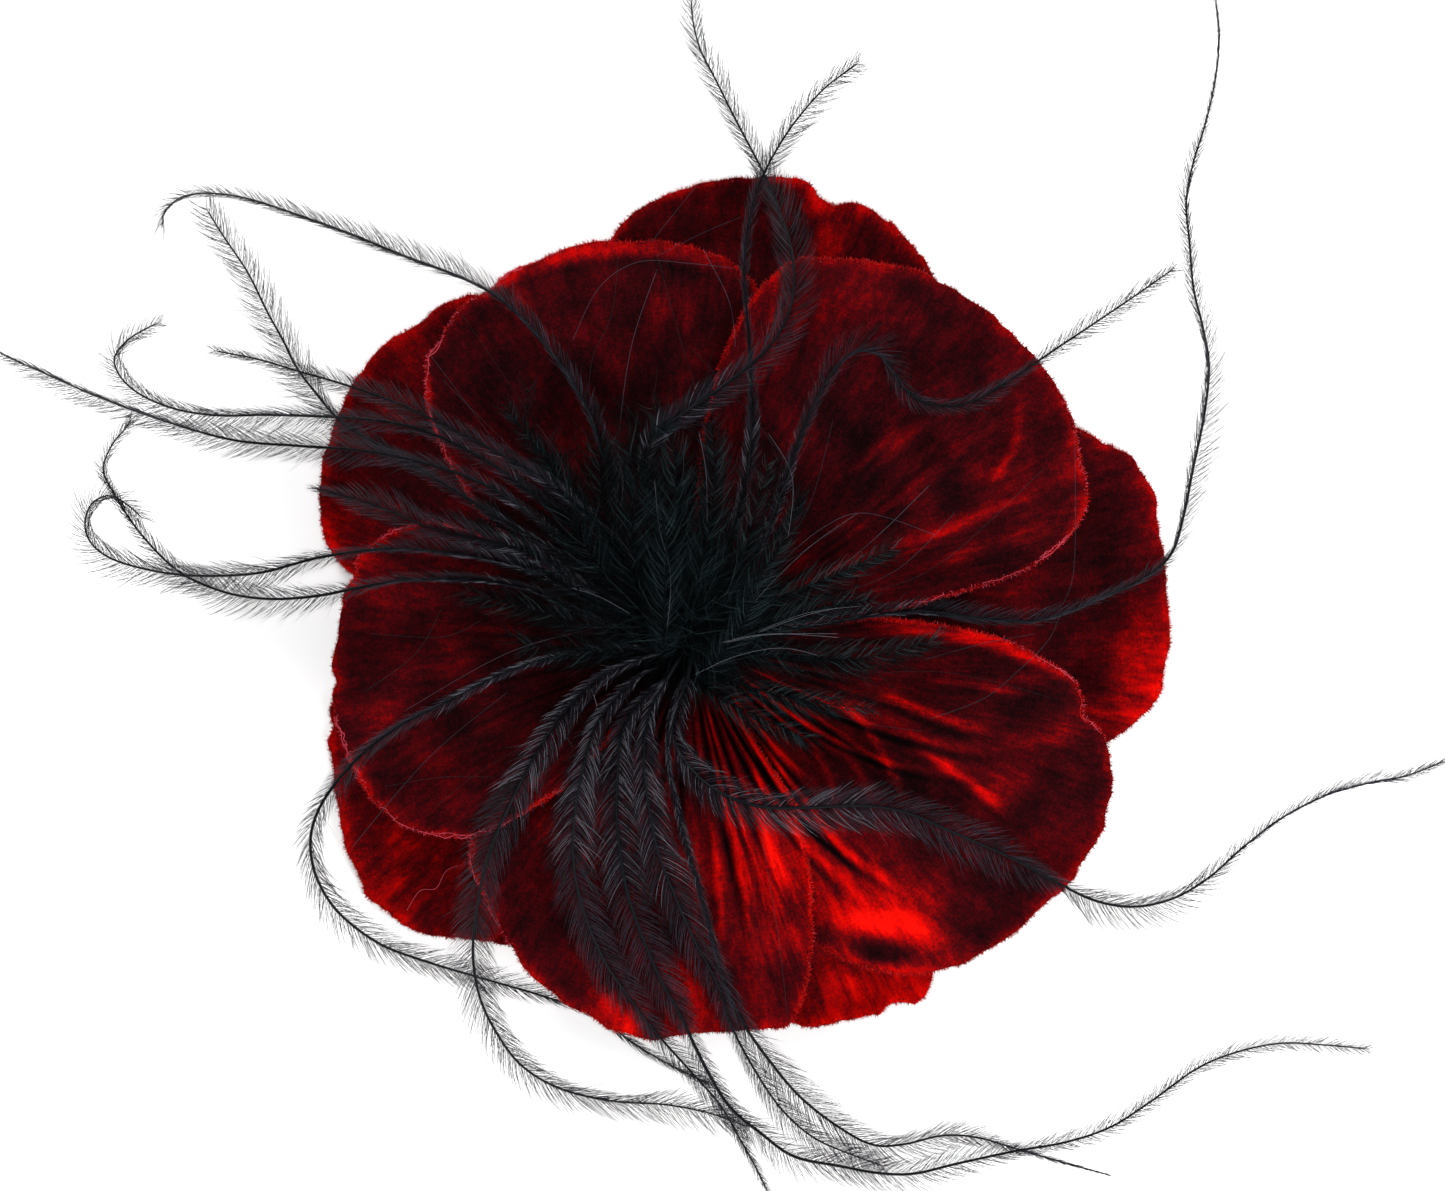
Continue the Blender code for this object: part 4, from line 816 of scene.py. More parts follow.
def rim_pile(node, x, y, level, lay_and_light, seed):
    """Short fibres that stand out all round the cut edge."""
    local = np.random.default_rng(seed)
    path = rim_path(x, y, level, lay_and_light)
    along = lengths(path[:, :2])
    many = int(along[-1] * PILE_DENSITY)
    place = np.sort(local.uniform(0, along[-1], many))
    root = along_line(path, along, place)
    ahead = unit(along_line(path[:, :2], along, place + 0.5) - along_line(path[:, :2], along, place - 0.5))
    out = np.stack([ahead[:, 1], -ahead[:, 0]], 1)
    out *= np.sign(((root[:, :2] - path[:, :2].mean(0)) * out).sum(1, keepdims=True) + 1e-9)
    lean = local.uniform(-0.4, 1.2, many)[:, None]
    reach = local.uniform(0.32, 0.88, many)[:, None]
    direction = unit(np.column_stack([out * np.cos(lean) + ahead * local.normal(0, 0.35, (many, 1)),
                                      np.sin(lean)]))
    base = np.column_stack([root[:, :2] + out * local.uniform(-0.5, 0.18, (many, 1)),
                            root[:, 2] + local.uniform(-0.15, HALF, many)])
    sag = np.column_stack([np.zeros((many, 2)), local.normal(0, 0.10, many)])
    lines = np.stack([base, base + direction * reach * 0.55 + sag * 0.4, base + direction * reach + sag], 1)
    lines[..., 2] = np.maximum(lines[..., 2], 0.05)
    radii = np.tile([0.062, 0.045, 0.0], (many, 1))
    # Fibre tones follow the lay with its painted light: deep fibres where it holds painted shade, bright
    # ones where it holds painted highlights.
    chance = local.uniform(0, 1, many) + 1.1 * (root[:, 3] - 0.5)
    slots = np.where(chance > 0.86, PILE_BRIGHT, np.where(chance > 0.24, PILE_RED, PILE_DEEP))
    bearing = bearing_of(root[:, 0], root[:, 1])
    # Pink fibres are painted glints, and there are more of them where the cut frays.
    pink_glint = 0.02 + sum(0.2 * in_sector(bearing, low, high) for low, high, _ in FRAYED.get(node, []))
    slots = np.where(local.uniform(0, 1, many) < pink_glint, PILE_PINK_GLINT, slots)
    return [(lines, radii, slots)]


def frayed_threads(node, x, y, level, lay_and_light, seed):
    """Loose threads that lie along parts of the cut, coloured pink or bright red as painted glints."""
    local = np.random.default_rng(seed + 5)
    path = rim_path(x, y, level, lay_and_light)
    along = lengths(path[:, :2])
    bearing = bearing_of(path[:, 0], path[:, 1])
    batches = []
    for low, high, runs in FRAYED.get(node, []):
        inside = in_sector(bearing, low, high).nonzero()[0]
        for _ in range(runs):
            place = along[local.choice(inside)] + np.linspace(0, local.uniform(3, 9), 14)
            line = along_line(path[:, :3], along, place)
            out = unit(line[:, :2] - path[:, :2].mean(0))
            aside = local.uniform(-0.15, 0.2) + wander(14, 3, 0.14, new_seed(local))
            line[:, :2] += out * aside[:, None]
            line[:, 2] += HALF + 0.05 + np.abs(wander(14, 3, 0.10, new_seed(local)))
            radius = local.uniform(0.045, 0.075)
            batches.append(one_strand(line, radius, PILE_PINK_GLINT if local.uniform() < 0.7 else PILE_BRIGHT))
    return batches


def loose_threads(level_at):
    batches = []
    for route in LOOSE_THREADS:
        flat = through(route, 30)
        line = np.column_stack([flat, level_at(flat[:, 0], flat[:, 1]) + HALF + 0.15])
        # Coloured pink as a painted glint.
        batches.append(one_strand(line, 0.06, PILE_PINK_GLINT))
    return batches


PETAL_LIFT = {"front_petal_1": 0.28, "front_petal_2": 0.295, "front_petal_3": 0.31, "front_petal_4": 0.33,
              "front_petal_5": 0.30, "back_petal_1": 0.36, "back_petal_2": 0.33, "back_petal_3": 0.33,
              "back_petal_4": 0.42, "back_petal_5": 0.38}


def petals():
    looks = [velvet("velvet_pile"), woven_back("velvet_ground")]
    for index, (node, outline) in enumerate({**FRONT_PETALS, **BACK_PETALS}.items()):
        layer = node.split("_")[0]
        seed = 100 + 10 * index
        x, y, middle = petal_plan(outline, seed, *GRID[layer])
        reach = max(r for _, r in outline)
        level = front_level(x, y, middle) if layer == "front" else back_level(x, y, middle, reach)
        lay_and_light = petal_lay_and_light(x, y, layer, seed, PETAL_LIFT[node])
        piece = petal_mesh(node.replace("_petal_", "_velvet_"), x, y, level, lay_and_light, looks)
        batches = rim_pile(node, x, y, level, lay_and_light, seed) + frayed_threads(node, x, y, level, lay_and_light, seed)
        if node == "back_petal_5":
            batches += loose_threads(lambda px, py: back_level(px, py, middle, reach))
        fuzz = strand_piece(node.replace("_petal_", "_edge_pile_"), batches, PILE)
        for obj in (piece, fuzz):
            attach(obj, "flower")
        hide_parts(node)
        declare_petal(piece, x, y, layer)


def declare_petal(piece, x, y, layer):
    """Works out the cut's size: its greatest width, its length with the gathers let out, and its area; none
    of them is kept.
    """
    width = np.hypot(np.diff(x, axis=1), np.diff(y, axis=1)).sum(1).max() * 1.03
    reach = np.hypot(x[-1] - x[0], y[-1] - y[0]).max() * (1.03 if layer == "front" else 1.06)
    area = sum(p.area for p in piece.data.polygons) / 2 * 1e6
    area = min(max(area, 0.31 * width * reach), 0.99 * width * reach) * 1e-6


# ---- the feathers ----

TINTS = {  # the share of black, slate, mauve and glint barbules; the glint ones are painted highlights
    "dark": (0.34, 0.38, 0.22, 0.06), "glinting": (0.16, 0.30, 0.38, 0.16),
    "fuzz": (0.50, 0.36, 0.14, 0.0), "black": (0.85, 0.15, 0.0, 0.0),
}
STRAND_TAPER = np.array([1.0, 0.95, 0.80, 0.55, 0.0])  # a barbule's thickness at its five points
BARB_ANGLE, BARB_CURL = math.radians(55), math.radians(22)
LONGEST_BARB, STRAY_SHARE = 4.9, 0.03
WAVE_STEPS = 400  # how finely a random change along a shaft is stepped
# Distances from the hub for the painted glints on the barbules: where they are most, how fast that fades,
# and where they end.
GLINT_MIDDLE, GLINT_SPREAD, GLINT_END = 20, 12, 36


def feather_line(ring, angle, over_z, tip_z, points):
    """The shaft's centre line, finely stepped, and the route point that each step stands at."""
    turn = math.radians(angle)
    root = BUNDLE[:2] + ROOT_RADII[ring] * np.array([math.cos(turn), math.sin(turn)])
    plan = np.array([root, *points], float)
    place = np.linspace(0, len(plan) - 1, 24 * len(plan))
    flat = catmull(plan, place)
    along = lengths(flat)
    bend = BEND_Z[ring]
    level = (bend + NEAR_RISE * np.sin(math.pi / 2 * np.minimum(along / NEAR_AT, 1))
             + (over_z - bend - NEAR_RISE) * smoothstep((along - NEAR_AT) / (OVER_AT - NEAR_AT))
             + (tip_z - over_z) * smoothstep((along - OVER_AT) / (along[-1] - OVER_AT)))
    line = np.column_stack([flat, level])
    foot = np.array([[*root, ROOT_Z], [*root, (ROOT_Z + bend) / 2]])
    return np.concatenate([foot, line]), np.concatenate([[-1.0, -0.5], place - 1.0])


def sweep(start, tangent, out, size, first, last):
    """Curved strands that leave at one angle from the tangent and end at another."""
    made, steps = [start], len(STRAND_TAPER)
    for step in range(1, steps):
        turn = first + (last - first) * (step - 0.5) / (steps - 1)
        made.append(made[-1] + (tangent * np.cos(turn)[:, None] + out * np.sin(turn)[:, None])
                    * (size / (steps - 1))[:, None])
    return np.stack(made, 1)


def axes_along(line, along, place, step):
    """Unit vectors at these places: along the line, level across it, and above it."""
    tangent = unit(along_line(line, along, place + step) - along_line(line, along, place - step))
    beside = unit(np.cross(UP, tangent))
    return tangent, beside, np.cross(tangent, beside)


def at_share(curve, share):
    return np.interp(share, np.linspace(0, 1, len(curve)), curve)


def barbules(line, order, vane, local, spacing, radius, tints, fine=False, within=None):
    """Hair-like barbules along both sides of a shaft. Where the vane is seen edge-on they stand up.

    The fine ones are shorter and less even. Within sets how far from the hub they go.
    """
    along = lengths(line)
    marks = np.array(vane, float)
    roll = wander(WAVE_STEPS, 30, 0.10, new_seed(local))
    swing = wander(WAVE_STEPS, 14, math.radians(4), new_seed(local))
    batches = []
    for side in (1, -1):
        place = np.arange(1.5 + 0.5 * spacing * (side > 0), along[-1] - 0.1, spacing)
        place = place + local.normal(0, 0.11 * spacing, len(place))
        at = np.interp(place, along, order)
        keep = (at > -0.2) & (local.uniform(0, 1, len(place)) > 0.03)
        if within:
            keep &= np.hypot(*along_line(line[:, :2], along, place).T) < within
        place, at = place[keep], at[keep]
        many, share = len(place), place / along[-1]
        reach = np.interp(at, marks[:, 0], marks[:, 1 if side > 0 else 2])
        widest = np.interp(at, marks[:, 0], np.maximum(marks[:, 1], marks[:, 2]))
        full = np.maximum(np.minimum(widest * 1.1 + 0.9, LONGEST_BARB), reach)
        shaft = along_line(line, along, place)
        tangent, beside, above = axes_along(line, along, place, 0.6)
        lean = np.arccos(np.clip(reach / full, 0.05, 1.0)) + at_share(roll, share)
        lean = (lean + local.normal(0, 0.2 if fine else 0.07, many))[:, None]
        out = side * beside * np.cos(lean) + above * np.sin(lean)
        stray = local.uniform(0, 1, many) < STRAY_SHARE
        size = full * local.uniform(0.84, 1.06, many) / 0.72 * np.where(stray, 1.12, 1.0)
        if fine:
            size *= local.uniform(0.5, 0.95, many)
        first = BARB_ANGLE + at_share(swing, share)
        first = first + local.normal(0, math.radians(9 if fine else 3.5), many)
        first = first + np.where(stray, math.radians(18), 0)
        lines = sweep(shaft, tangent, out, size, first, first - BARB_CURL - 0.15 * share)
        slots = local.choice(4, many, p=tints)
        # Painted glints: more glint barbules near GLINT_MIDDLE and in patches along the shaft, and none
        # past GLINT_END.
        if not fine and not within:
            glint = at_share(wander(WAVE_STEPS, 16, 1.0, new_seed(local)), share)
            from_hub = np.hypot(shaft[:, 0], shaft[:, 1])
            chance = ((0.10 + 0.45 * np.clip(glint, 0, 1))
                      * np.exp(-((from_hub - GLINT_MIDDLE) / GLINT_SPREAD) ** 2))
            slots = np.where((slots == BARB_GLINT) & (from_hub > GLINT_END), BARB_SLATE, slots)
            slots = np.where(local.uniform(0, 1, many) < chance, BARB_GLINT, slots)
        batches.append((lines, radius * local.uniform(0.8, 1.2, (many, 1)) * STRAND_TAPER, slots))
    return batches


def shaft_strand(line, root_radius, tip_radius, sides=5):
    along = lengths(line)
    fine = along_line(line, along, np.linspace(0, along[-1], max(24, int(along[-1] / 1.1))))
    radii = root_radius + (tip_radius - root_radius) * np.linspace(0, 1, len(fine))
    return fine[None], radii[None], np.array([0]), sides


# The feathers whose barbules get more painted glints.
SHAFT_RADII, GLINTING_FEATHERS = (0.36, 0.12), range(8, 15)


def feathers():
    """Each feather: its shaft, its barbules, a finer fuzz between them, and a dark layer just below."""
    for index, (node, (ring, angle, over_z, tip_z, points, vane)) in enumerate(FEATHERS.items()):
        local = np.random.default_rng(500 + index)
        line, order = feather_line(ring, angle, over_z, tip_z, points)
        tints = TINTS["glinting" if index in GLINTING_FEATHERS else "dark"]
        batches = [shaft_strand(line, *SHAFT_RADII)]
        batches += barbules(line, order, vane, local, 0.27, 0.042, tints)
        batches += barbules(line, order, vane, local, 0.30, 0.032, TINTS["fuzz"], fine=True)
        batches += barbules(line - 0.35 * UP, order, vane, local, 0.24, 0.060, TINTS["black"], within=38)
        piece = strand_piece(node.replace("feather_", "ostrich_flue_"), batches, BARBS)
        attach(piece, "flower")
        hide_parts(node)


# ---- the down at the centre ----

PLUMES = [  # route in X, Y and Z, reach of its fluff at the root, middle and tip, and how combed it is
    ([(-4.2, -3, 33), (-4, 2, 39), (-3.4, 8, 42), (-3.4, 14, 42), (-4.2, 20, 40), (-6, 28, 37)],
     (4, 6, 4), 0.9),
    ([(1, -6, 34), (4, -3, 39), (7, 1, 41), (9.5, 5, 40), (12.5, 11, 37)], (3, 5, 3), 0.8),
    ([(-5, 2, 33), (-8, 8, 38), (-9, 15, 40), (-8.5, 23, 39), (-10, 31, 36)], (4, 7, 5), 0.4),
    ([(-8, 4, 32), (-13, 10, 37), (-17, 16, 38), (-20, 23, 37), (-22, 30, 35)], (4, 7, 5), 0.3),
    ([(0, 2, 32), (1.5, 10, 39), (3, 18, 40), (3.6, 26, 38), (3, 34, 36)], (4, 6, 3), 0.4),
    ([(3, -2, 32), (10, -2.4, 37), (18, -3, 38), (27, -2.6, 37), (38, -0.5, 35)], (3, 5, 2.5), 0.5),
    ([(2, -4, 32), (9, -7.5, 36), (18, -9.5, 36), (28, -10.5, 34)], (3, 4.4, 2), 0.5),
    ([(3, 2, 32), (11, 5.5, 37), (20, 9, 37), (31, 14, 35)], (3, 4.4, 2), 0.5),
    ([(-7, 0, 31), (-15, 2.2, 35), (-23, 4.6, 35), (-33, 7, 33)], (3, 5, 4), 0.4),
    ([(-8, -2, 31), (-16, -1.5, 34), (-25, -1, 34)], (3, 4.4, 3), 0.4),
    ([(0, -5, 31), (5, -9, 35), (11, -12, 35), (18, -15, 34)], (3, 4, 2), 0.4),
    ([(-2, 4, 32), (-1.5, 12, 38), (-1.8, 20, 40), (-2.5, 28, 39), (-5, 36, 36)], (4, 6, 3), 0.3),
    ([(-6, 5, 31), (-11, 13, 36), (-13, 22, 37), (-14, 30, 35)], (4, 6, 4), 0.2),
    ([(5, 4, 31), (8, 12, 36), (10, 20, 36), (11.5, 27, 35)], (3, 4, 2), 0.4),
    ([(-9, 2, 31), (-17, 7, 34.5), (-25, 12, 35), (-31, 19, 33)], (3, 5, 4), 0.3),
    ([(-8, 8, 33), (-14, 18, 36), (-22, 28, 36), (-28, 36, 34)], (3, 4, 2), 0.3),
    ([(4, 0, 33), (12, 2, 38), (20, 5, 38), (28, 6, 36)], (3, 4.4, 2), 0.5),
    ([(1, 0, 33), (8, 6, 38), (14, 14, 38), (17, 22, 36)], (3, 4, 2), 0.4),
]
HAIRS = [  # long single strands that arch over the petals
    [(-11, 22), (-15, 35), (-15, 43), (-12, 50), (-11, 59)], [(-11, 20), (-11, 30), (-9, 45), (-5, 57)],
    [(1, 38), (-2, 48), (-5, 59)], [(7, 45), (6, 52), (2, 60)], [(-5, 59), (2, 62.5), (8, 65)],
    [(-6, 61), (-2, 66), (2, 71)], [(-18, 46), (-14, 54), (-8, 58), (0, 57.8), (7, 57)],
    [(14.5, 25), (12, 31), (6, 38.5), (0, 45)], [(-24, 34), (-35, 50)], [(-28, 30), (-38, 40)],
    [(13, 11), (20, 17), (27, 19.5), (38, 16)], [(14, 5), (30, 8), (40, 13), (55, 27)],
    [(37, -12), (45, -9), (50, -5), (55, 0), (57, 5), (59, 12), (59, 34)], [(36, -3), (45, -0.5), (53, 1)],
    [(-32, 3), (-38, 0.5), (-49, 1)], [(-38, 5), (-42, -2), (-50, -8)],
    [(-30, -21), (-38, -21), (-47, -22.5)], [(-25, -16), (-32, -20), (-39, -25.5)],
    [(-28, -8), (-40, -18), (-52, -32)], [(11, -30), (13.5, -45), (15, -58)],
    [(6, 1), (20, 6), (32, 11), (41, 20)], [(8, 3), (24, 12), (37, 24)],
    [(5, -3), (22, -5), (40, -5), (56, -9)], [(8, -6), (24, -12), (36, -14)],
    [(-8, 6), (-22, 20), (-34, 36), (-40, 44)], [(-4, 10), (-6, 26), (-5, 42)],
    [(2, 8), (4, 22), (2, 36), (4, 46)],
    [(-14, 2), (-28, -2), (-44, -11)], [(10, 8), (18, 20), (22, 34)],
]


FLUFF_SPACING, FLUFF_RADIUS, FLUFF_ANGLE, FLUFF_CURL = 0.12, 0.034, math.radians(46), math.radians(26)
FLUFF_WAVE = np.array([0, 0.06, 0.03, -0.06, -0.02])


def fluff(line, reaches, combed, local, tints):
    """Soft wavy barbules on a down plume."""
    along = lengths(line)
    many = int(along[-1] / FLUFF_SPACING)
    place = local.uniform(0.5, along[-1], many)
    side = np.where(local.uniform(0, 1, many) < 0.5, 1.0, -1.0)[:, None]
    tangent, beside, above = axes_along(line, along, place, 1)
    loose = 0.75 - 0.6 * combed
    lean = local.uniform(-0.25 * loose, 1.1 * loose, many)[:, None]
    out = side * beside * np.cos(lean) + above * np.sin(lean)
    size = np.interp(place / along[-1], [0, 0.5, 1], reaches) * local.uniform(0.7, 1.35, many)
    first = FLUFF_ANGLE + local.normal(0, 0.05 + 0.2 * loose, many)
    lines = sweep(along_line(line, along, place), tangent, out, size, first, first - FLUFF_CURL)
    lines = lines + local.normal(0, loose, (many, 1, 3)) * FLUFF_WAVE[None, :, None] * size[:, None, None]
    radii = FLUFF_RADIUS * local.uniform(0.8, 1.3, (many, 1)) * STRAND_TAPER
    return lines, radii, local.choice(len(DOWN), many, p=tints)


HEART_BEARINGS, HEART_SHARES = [105.0, 78.0, 2.0, 165.0, -60.0], (0.40, 0.24, 0.28, 0.05, 0.03)
# The heart's tints are mostly black: painted shade inside the tuft.
HEART_OFFSET, HEART_TOP, HEART_SHADE_TINTS = (2.0, 2.8), 43.0, (0.74, 0.21, 0.05)
HEART_STRANDS, SHADE_BED_STRANDS = 4200, 3400


def heart(local, many):
    """The dense tuft itself: fine strands that leave the binding, mostly towards +Y and +X."""
    toward = local.choice(HEART_BEARINGS, many, p=HEART_SHARES)
    turn = np.radians(toward + local.normal(0, 30, many))
    reach = local.uniform(5, 17, many) * np.where(toward < -50, 0.6, 1.0)
    spread, start_turn = local.uniform(0, 6, many), local.uniform(0, math.tau, many)
    start = np.column_stack([BUNDLE[0] + HEART_OFFSET[0] + spread * np.cos(start_turn),
                             BUNDLE[1] + HEART_OFFSET[1] + 0.8 * spread * np.sin(start_turn),
                             local.uniform(27, 36, many)])
    rise = local.uniform(0.5, 8, many) * np.clip(1.2 - reach / 26, 0.2, 1)
    rise = np.minimum(rise, HEART_TOP - start[:, 2])
    swirl = local.normal(0, 0.35, many)
    made = []
    for share in np.linspace(0, 1, 5):
        bearing = turn + swirl * share**2
        made.append(start + round_points(reach * share, bearing, rise * np.sin(share * 2.0)))
    lines = np.stack(made, 1)
    lines[:, 1:, :] += local.normal(0, 0.30, lines[:, 1:, :].shape)
    radii = local.uniform(0.028, 0.05, (many, 1)) * np.array([1, 1, 0.85, 0.6, 0])
    return lines, radii, local.choice(len(DOWN), many, p=HEART_SHADE_TINTS)


def shade_bed(local, many):
    """Short black strands low round the binding: painted shade that closes the gaps between the feathers'
    roots.
    """
    turn, spread = local.uniform(0, math.tau, many), local.uniform(1.0, 6.4, many)
    start = round_points(spread, turn, local.uniform(28.6, 30.4, many), BUNDLE)
    heading = turn + local.normal(0, 0.5, many)
    reach = local.uniform(2.5, 7.5, many)
    drop = local.uniform(0.5, 6.0, many)
    made = [start + round_points(reach * s, heading, -drop * s * s) for s in np.linspace(0, 1, 4)]
    return np.stack(made, 1), np.tile([0.07, 0.07, 0.05, 0.0], (many, 1)), np.zeros(many, int)


# Painted light on the plumes: the top copy is painted lit or shaded by which side it lies on, and the lower
# copies are painted shade.
LIT_TINTS, SHADED_TINTS, BURIED_SHADE_TINTS = (0.34, 0.46, 0.20), (0.62, 0.30, 0.08), (0.88, 0.12, 0.0)


def down_pieces():
    """The plumes in two pieces, and the dense heart with its bed of painted shade as a third."""
    local = np.random.default_rng(77)
    pieces = []
    for name, plumes in (("down_plumes_tall", PLUMES[0::2]), ("down_plumes_low", PLUMES[1::2])):
        batches = []
        for route, reaches, combed in plumes:
            for copy in range(3):
                points = np.array(route, float) + [0, 0, -1.5 * copy]
                points[1:] += local.normal(0, 0.3 + 0.8 * copy * (1.2 - combed), points[1:].shape)
                line = through(points, 40)
                batches.append(shaft_strand(line, 0.15, 0.05, sides=3))
                # Plumes that start left of X -5 are painted in shade.
                top_tints = LIT_TINTS if route[0][0] > -5 else SHADED_TINTS
                batches.append(fluff(line, reaches, combed, local, BURIED_SHADE_TINTS if copy else top_tints))
        pieces.append(strand_piece(name, batches, DOWN))
    pieces.append(strand_piece("down_heart", [heart(local, HEART_STRANDS), shade_bed(local, SHADE_BED_STRANDS)], DOWN))
    return pieces


GLINTS = [  # long strands over the down, coloured as painted glints
    [(-15.7, 20.1), (-11, 15.5), (-7.8, 11.1)], [(-20, 8.9), (-14, 6.6), (-9.1, 3.8)],
    [(18.9, 32.3), (14, 22.5), (9.8, 11.7)], [(11.5, 32.3), (15.2, 25), (14.6, 14.1)],
    [(9.5, 31), (9, 23), (8.5, 16.5)],
    [(26.2, 19.2), (18.9, 15.3), (12.8, 9.8), (9.2, 5.6)], [(7.3, 24.4), (3, 22.3), (-1.8, 19.5)],
    [(26.2, 5.6), (17.6, 3.8), (9.2, 0.8)], [(-10.9, 28.7), (-10.2, 24), (-10.6, 18.9)],
    [(-5.4, 24.4), (-4.8, 17.1), (-2.7, 9.2), (-3.9, -0.5)],
    [(0.6, -4.8), (7, -2.6), (14, -1.7), (21.3, -2.9)],
    [(-23, 33), (-20, 28), (-18.4, 22)], [(3, -1), (12, 1.4), (23, 0.8)], [(1, 34), (2.4, 26), (2, 18)],
    [(5, 5), (9, 12), (16, 17)], [(2, -6), (8, -8.6), (15, -9.4)],
]


GLINT_SLOTS = [BARB_SLATE, BARB_SLATE, BARB_MAUVE, BARB_GLINT]
GLINT_Z, HAIR_Z, LOWEST_HAIR_Z, HAIR_TINTS = 42.6, 35.5, 29.5, (0.42, 0.40, 0.18, 0.0)


def stray_hairs():
    """Long single strands that arch over the petals, and ones over the down coloured as painted glints."""
    local = np.random.default_rng(88)
    batches = []
    for route in GLINTS * 2:
        points = np.array(route, float) + local.normal(0, 0.35, (len(route), 2))
        first, last = local.uniform(0, 0.5), len(route) - 1 - local.uniform(0, 0.3)
        flat = catmull(points, np.linspace(first, last, 22))
        level = GLINT_Z - 0.12 * np.hypot(flat[:, 0], flat[:, 1]) + wander(22, 8, 0.3, new_seed(local))
        radii = np.concatenate([[0.01], np.full(20, local.uniform(0.012, 0.022)), [0.0]])
        slot = local.choice(GLINT_SLOTS)
        batches.append((np.column_stack([flat, level])[None], radii[None], np.array([slot])))
    for route in HAIRS:
        flat = through(route, 28)
        level = HAIR_Z - 0.06 * np.hypot(flat[:, 0], flat[:, 1]) + wander(28, 9, 0.7, new_seed(local))
        radius = local.uniform(0.032, 0.05)
        line = np.column_stack([flat, np.maximum(level, LOWEST_HAIR_Z)])
        batches.append(one_strand(line, radius, local.choice(len(BARBS), p=HAIR_TINTS)))
    return strand_piece("stray_strands", batches, BARBS)


THREAD_RADIUS, THREAD_Z, THREAD_TURNS, PLY_RADIUS, PLY_TWIST = 5.5, (25.75, 28.1), 4.0, 0.13, 26


def thread_binding():
    """Two plies of thread twisted together and wound round the bundle."""
    turns = np.linspace(0, THREAD_TURNS * math.tau, 420)
    level = THREAD_Z[0] + (THREAD_Z[1] - THREAD_Z[0]) * turns / turns[-1]
    batches = []
    for ply in (0.0, math.pi):
        twist = turns * PLY_TWIST + ply
        radius = THREAD_RADIUS + PLY_RADIUS * np.cos(twist)
        line = round_points(radius, turns, level + PLY_RADIUS * np.sin(twist), BUNDLE)
        batches.append(one_strand(line, 0.17, sides=6))
    mat = hair("waxed_thread", (0.005, 0.005, 0.006), 0.5, 0.2)
    g = Graph(mat)
    g.bump(g.noise(g.object_place(), 3000.0), 0.5, 0.00005)
    piece = strand_piece("bound_thread", batches, [mat])
    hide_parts("thread_binding")
    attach(piece, "flower")


def bundle():
    tuft = down_pieces()
    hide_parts("down_tuft", "tuft_quill")
    for piece in tuft:
        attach(piece, "flower")
    hairs = stray_hairs()
    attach(hairs, "flower")
    thread_binding()


# ---- the backing ----


def disc(name, radius, low, high, mat, ripple, rings=26, segments=180):
    """A soft disc with a rounded rim and an uneven face."""
    half, middle = (high - low) / 2, (high + low) / 2
    turns = np.arange(segments) * math.tau / segments
    profile = [(0.06 * radius + (radius - half) * s - 0.06 * radius * s, half)
               for s in np.linspace(0.02, 1, rings)]
    profile += [(radius - half + half * math.sin(a), half * math.cos(a))
                for a in np.linspace(0.3, math.pi - 0.3, 7)]
    profile += [(r, -z) for r, z in profile[:rings][::-1]]
    points = []
    for r, z in profile:
        x, y = r * np.cos(turns), r * np.sin(turns)
        wave = ripple * (field(x, y, 6, 21) * 0.5 - 0.5) * np.sign(z)
        points.append(np.stack([x, y, middle + z + wave * min(1.0, abs(z) / half)], 1))
    count = len(profile)
    step, side = np.arange(count - 1)[:, None], np.arange(segments)[None, :]
    after = (side + 1) % segments
    quads = np.stack([step * segments + side, (step + 1) * segments + side,
                      (step + 1) * segments + after, step * segments + after], -1).reshape(-1, 4)
    middles = np.array([[0, 0, high - 0.5 * ripple], [0, 0, low + 0.5 * ripple]])
    base = count * segments
    top = np.stack([np.full(segments, base), side[0], after[0]], 1)
    under = np.stack([np.full(segments, base + 1), (count - 1) * segments + after[0],
                      (count - 1) * segments + side[0]], 1)
    fans = np.concatenate([top, under])
    return mesh_piece(name, np.concatenate(points + [middles]), [quads, fans], [mat])


def felt_fibres():
    """Loose fibres round the felt's cut rim and over its lower face."""
    local = np.random.default_rng(61)
    many = 5200
    turn = local.uniform(0, math.tau, many)
    rim = local.uniform(0, 1, many) < 0.5
    radius = np.where(rim, local.uniform(23.5, 24.0, many), 24 * np.sqrt(local.uniform(0.62, 0.98, many)))
    z = np.where(rim, local.uniform(11.1, 12.5, many), 10.93)
    start = round_points(radius, turn, z)
    heading = turn + local.normal(0, 1.1, many)
    run = local.uniform(0.25, 0.8, many)[:, None]
    step = round_points(1.0, heading, np.where(rim, local.normal(0, 0.3, many), -0.12))
    lines = np.stack([start, start + step * run * 0.6, start + step * run + [0, 0, -0.03]], 1)
    radii = np.tile([0.028, 0.02, 0.0], (many, 1))
    return strand_piece("felt_fibres", [(lines, radii, np.zeros(many, int))],
                        [hair("felt_fibre", (0.010, 0.010, 0.012), 0.9)])


STITCHES, STITCH_RADIUS, STITCH_TURN, STITCH_Z = 52, 22.6, 0.075, 11.05


def rim_stitches():
    """A round of running stitches that holds the felt to the petals."""
    batches = []
    for turn in np.arange(STITCHES) * math.tau / STITCHES:
        lift = np.sin(np.linspace(0, math.pi, 8)) * 0.28
        line = round_points(STITCH_RADIUS, turn + np.linspace(0, STITCH_TURN, 8), STITCH_Z - lift)
        batches.append(one_strand(line, 0.13, sides=5, tip=0.02))
    return strand_piece("felt_stitches", batches, [hair("stitch_thread", (0.016, 0.014, 0.016), 0.6, 0.3)])


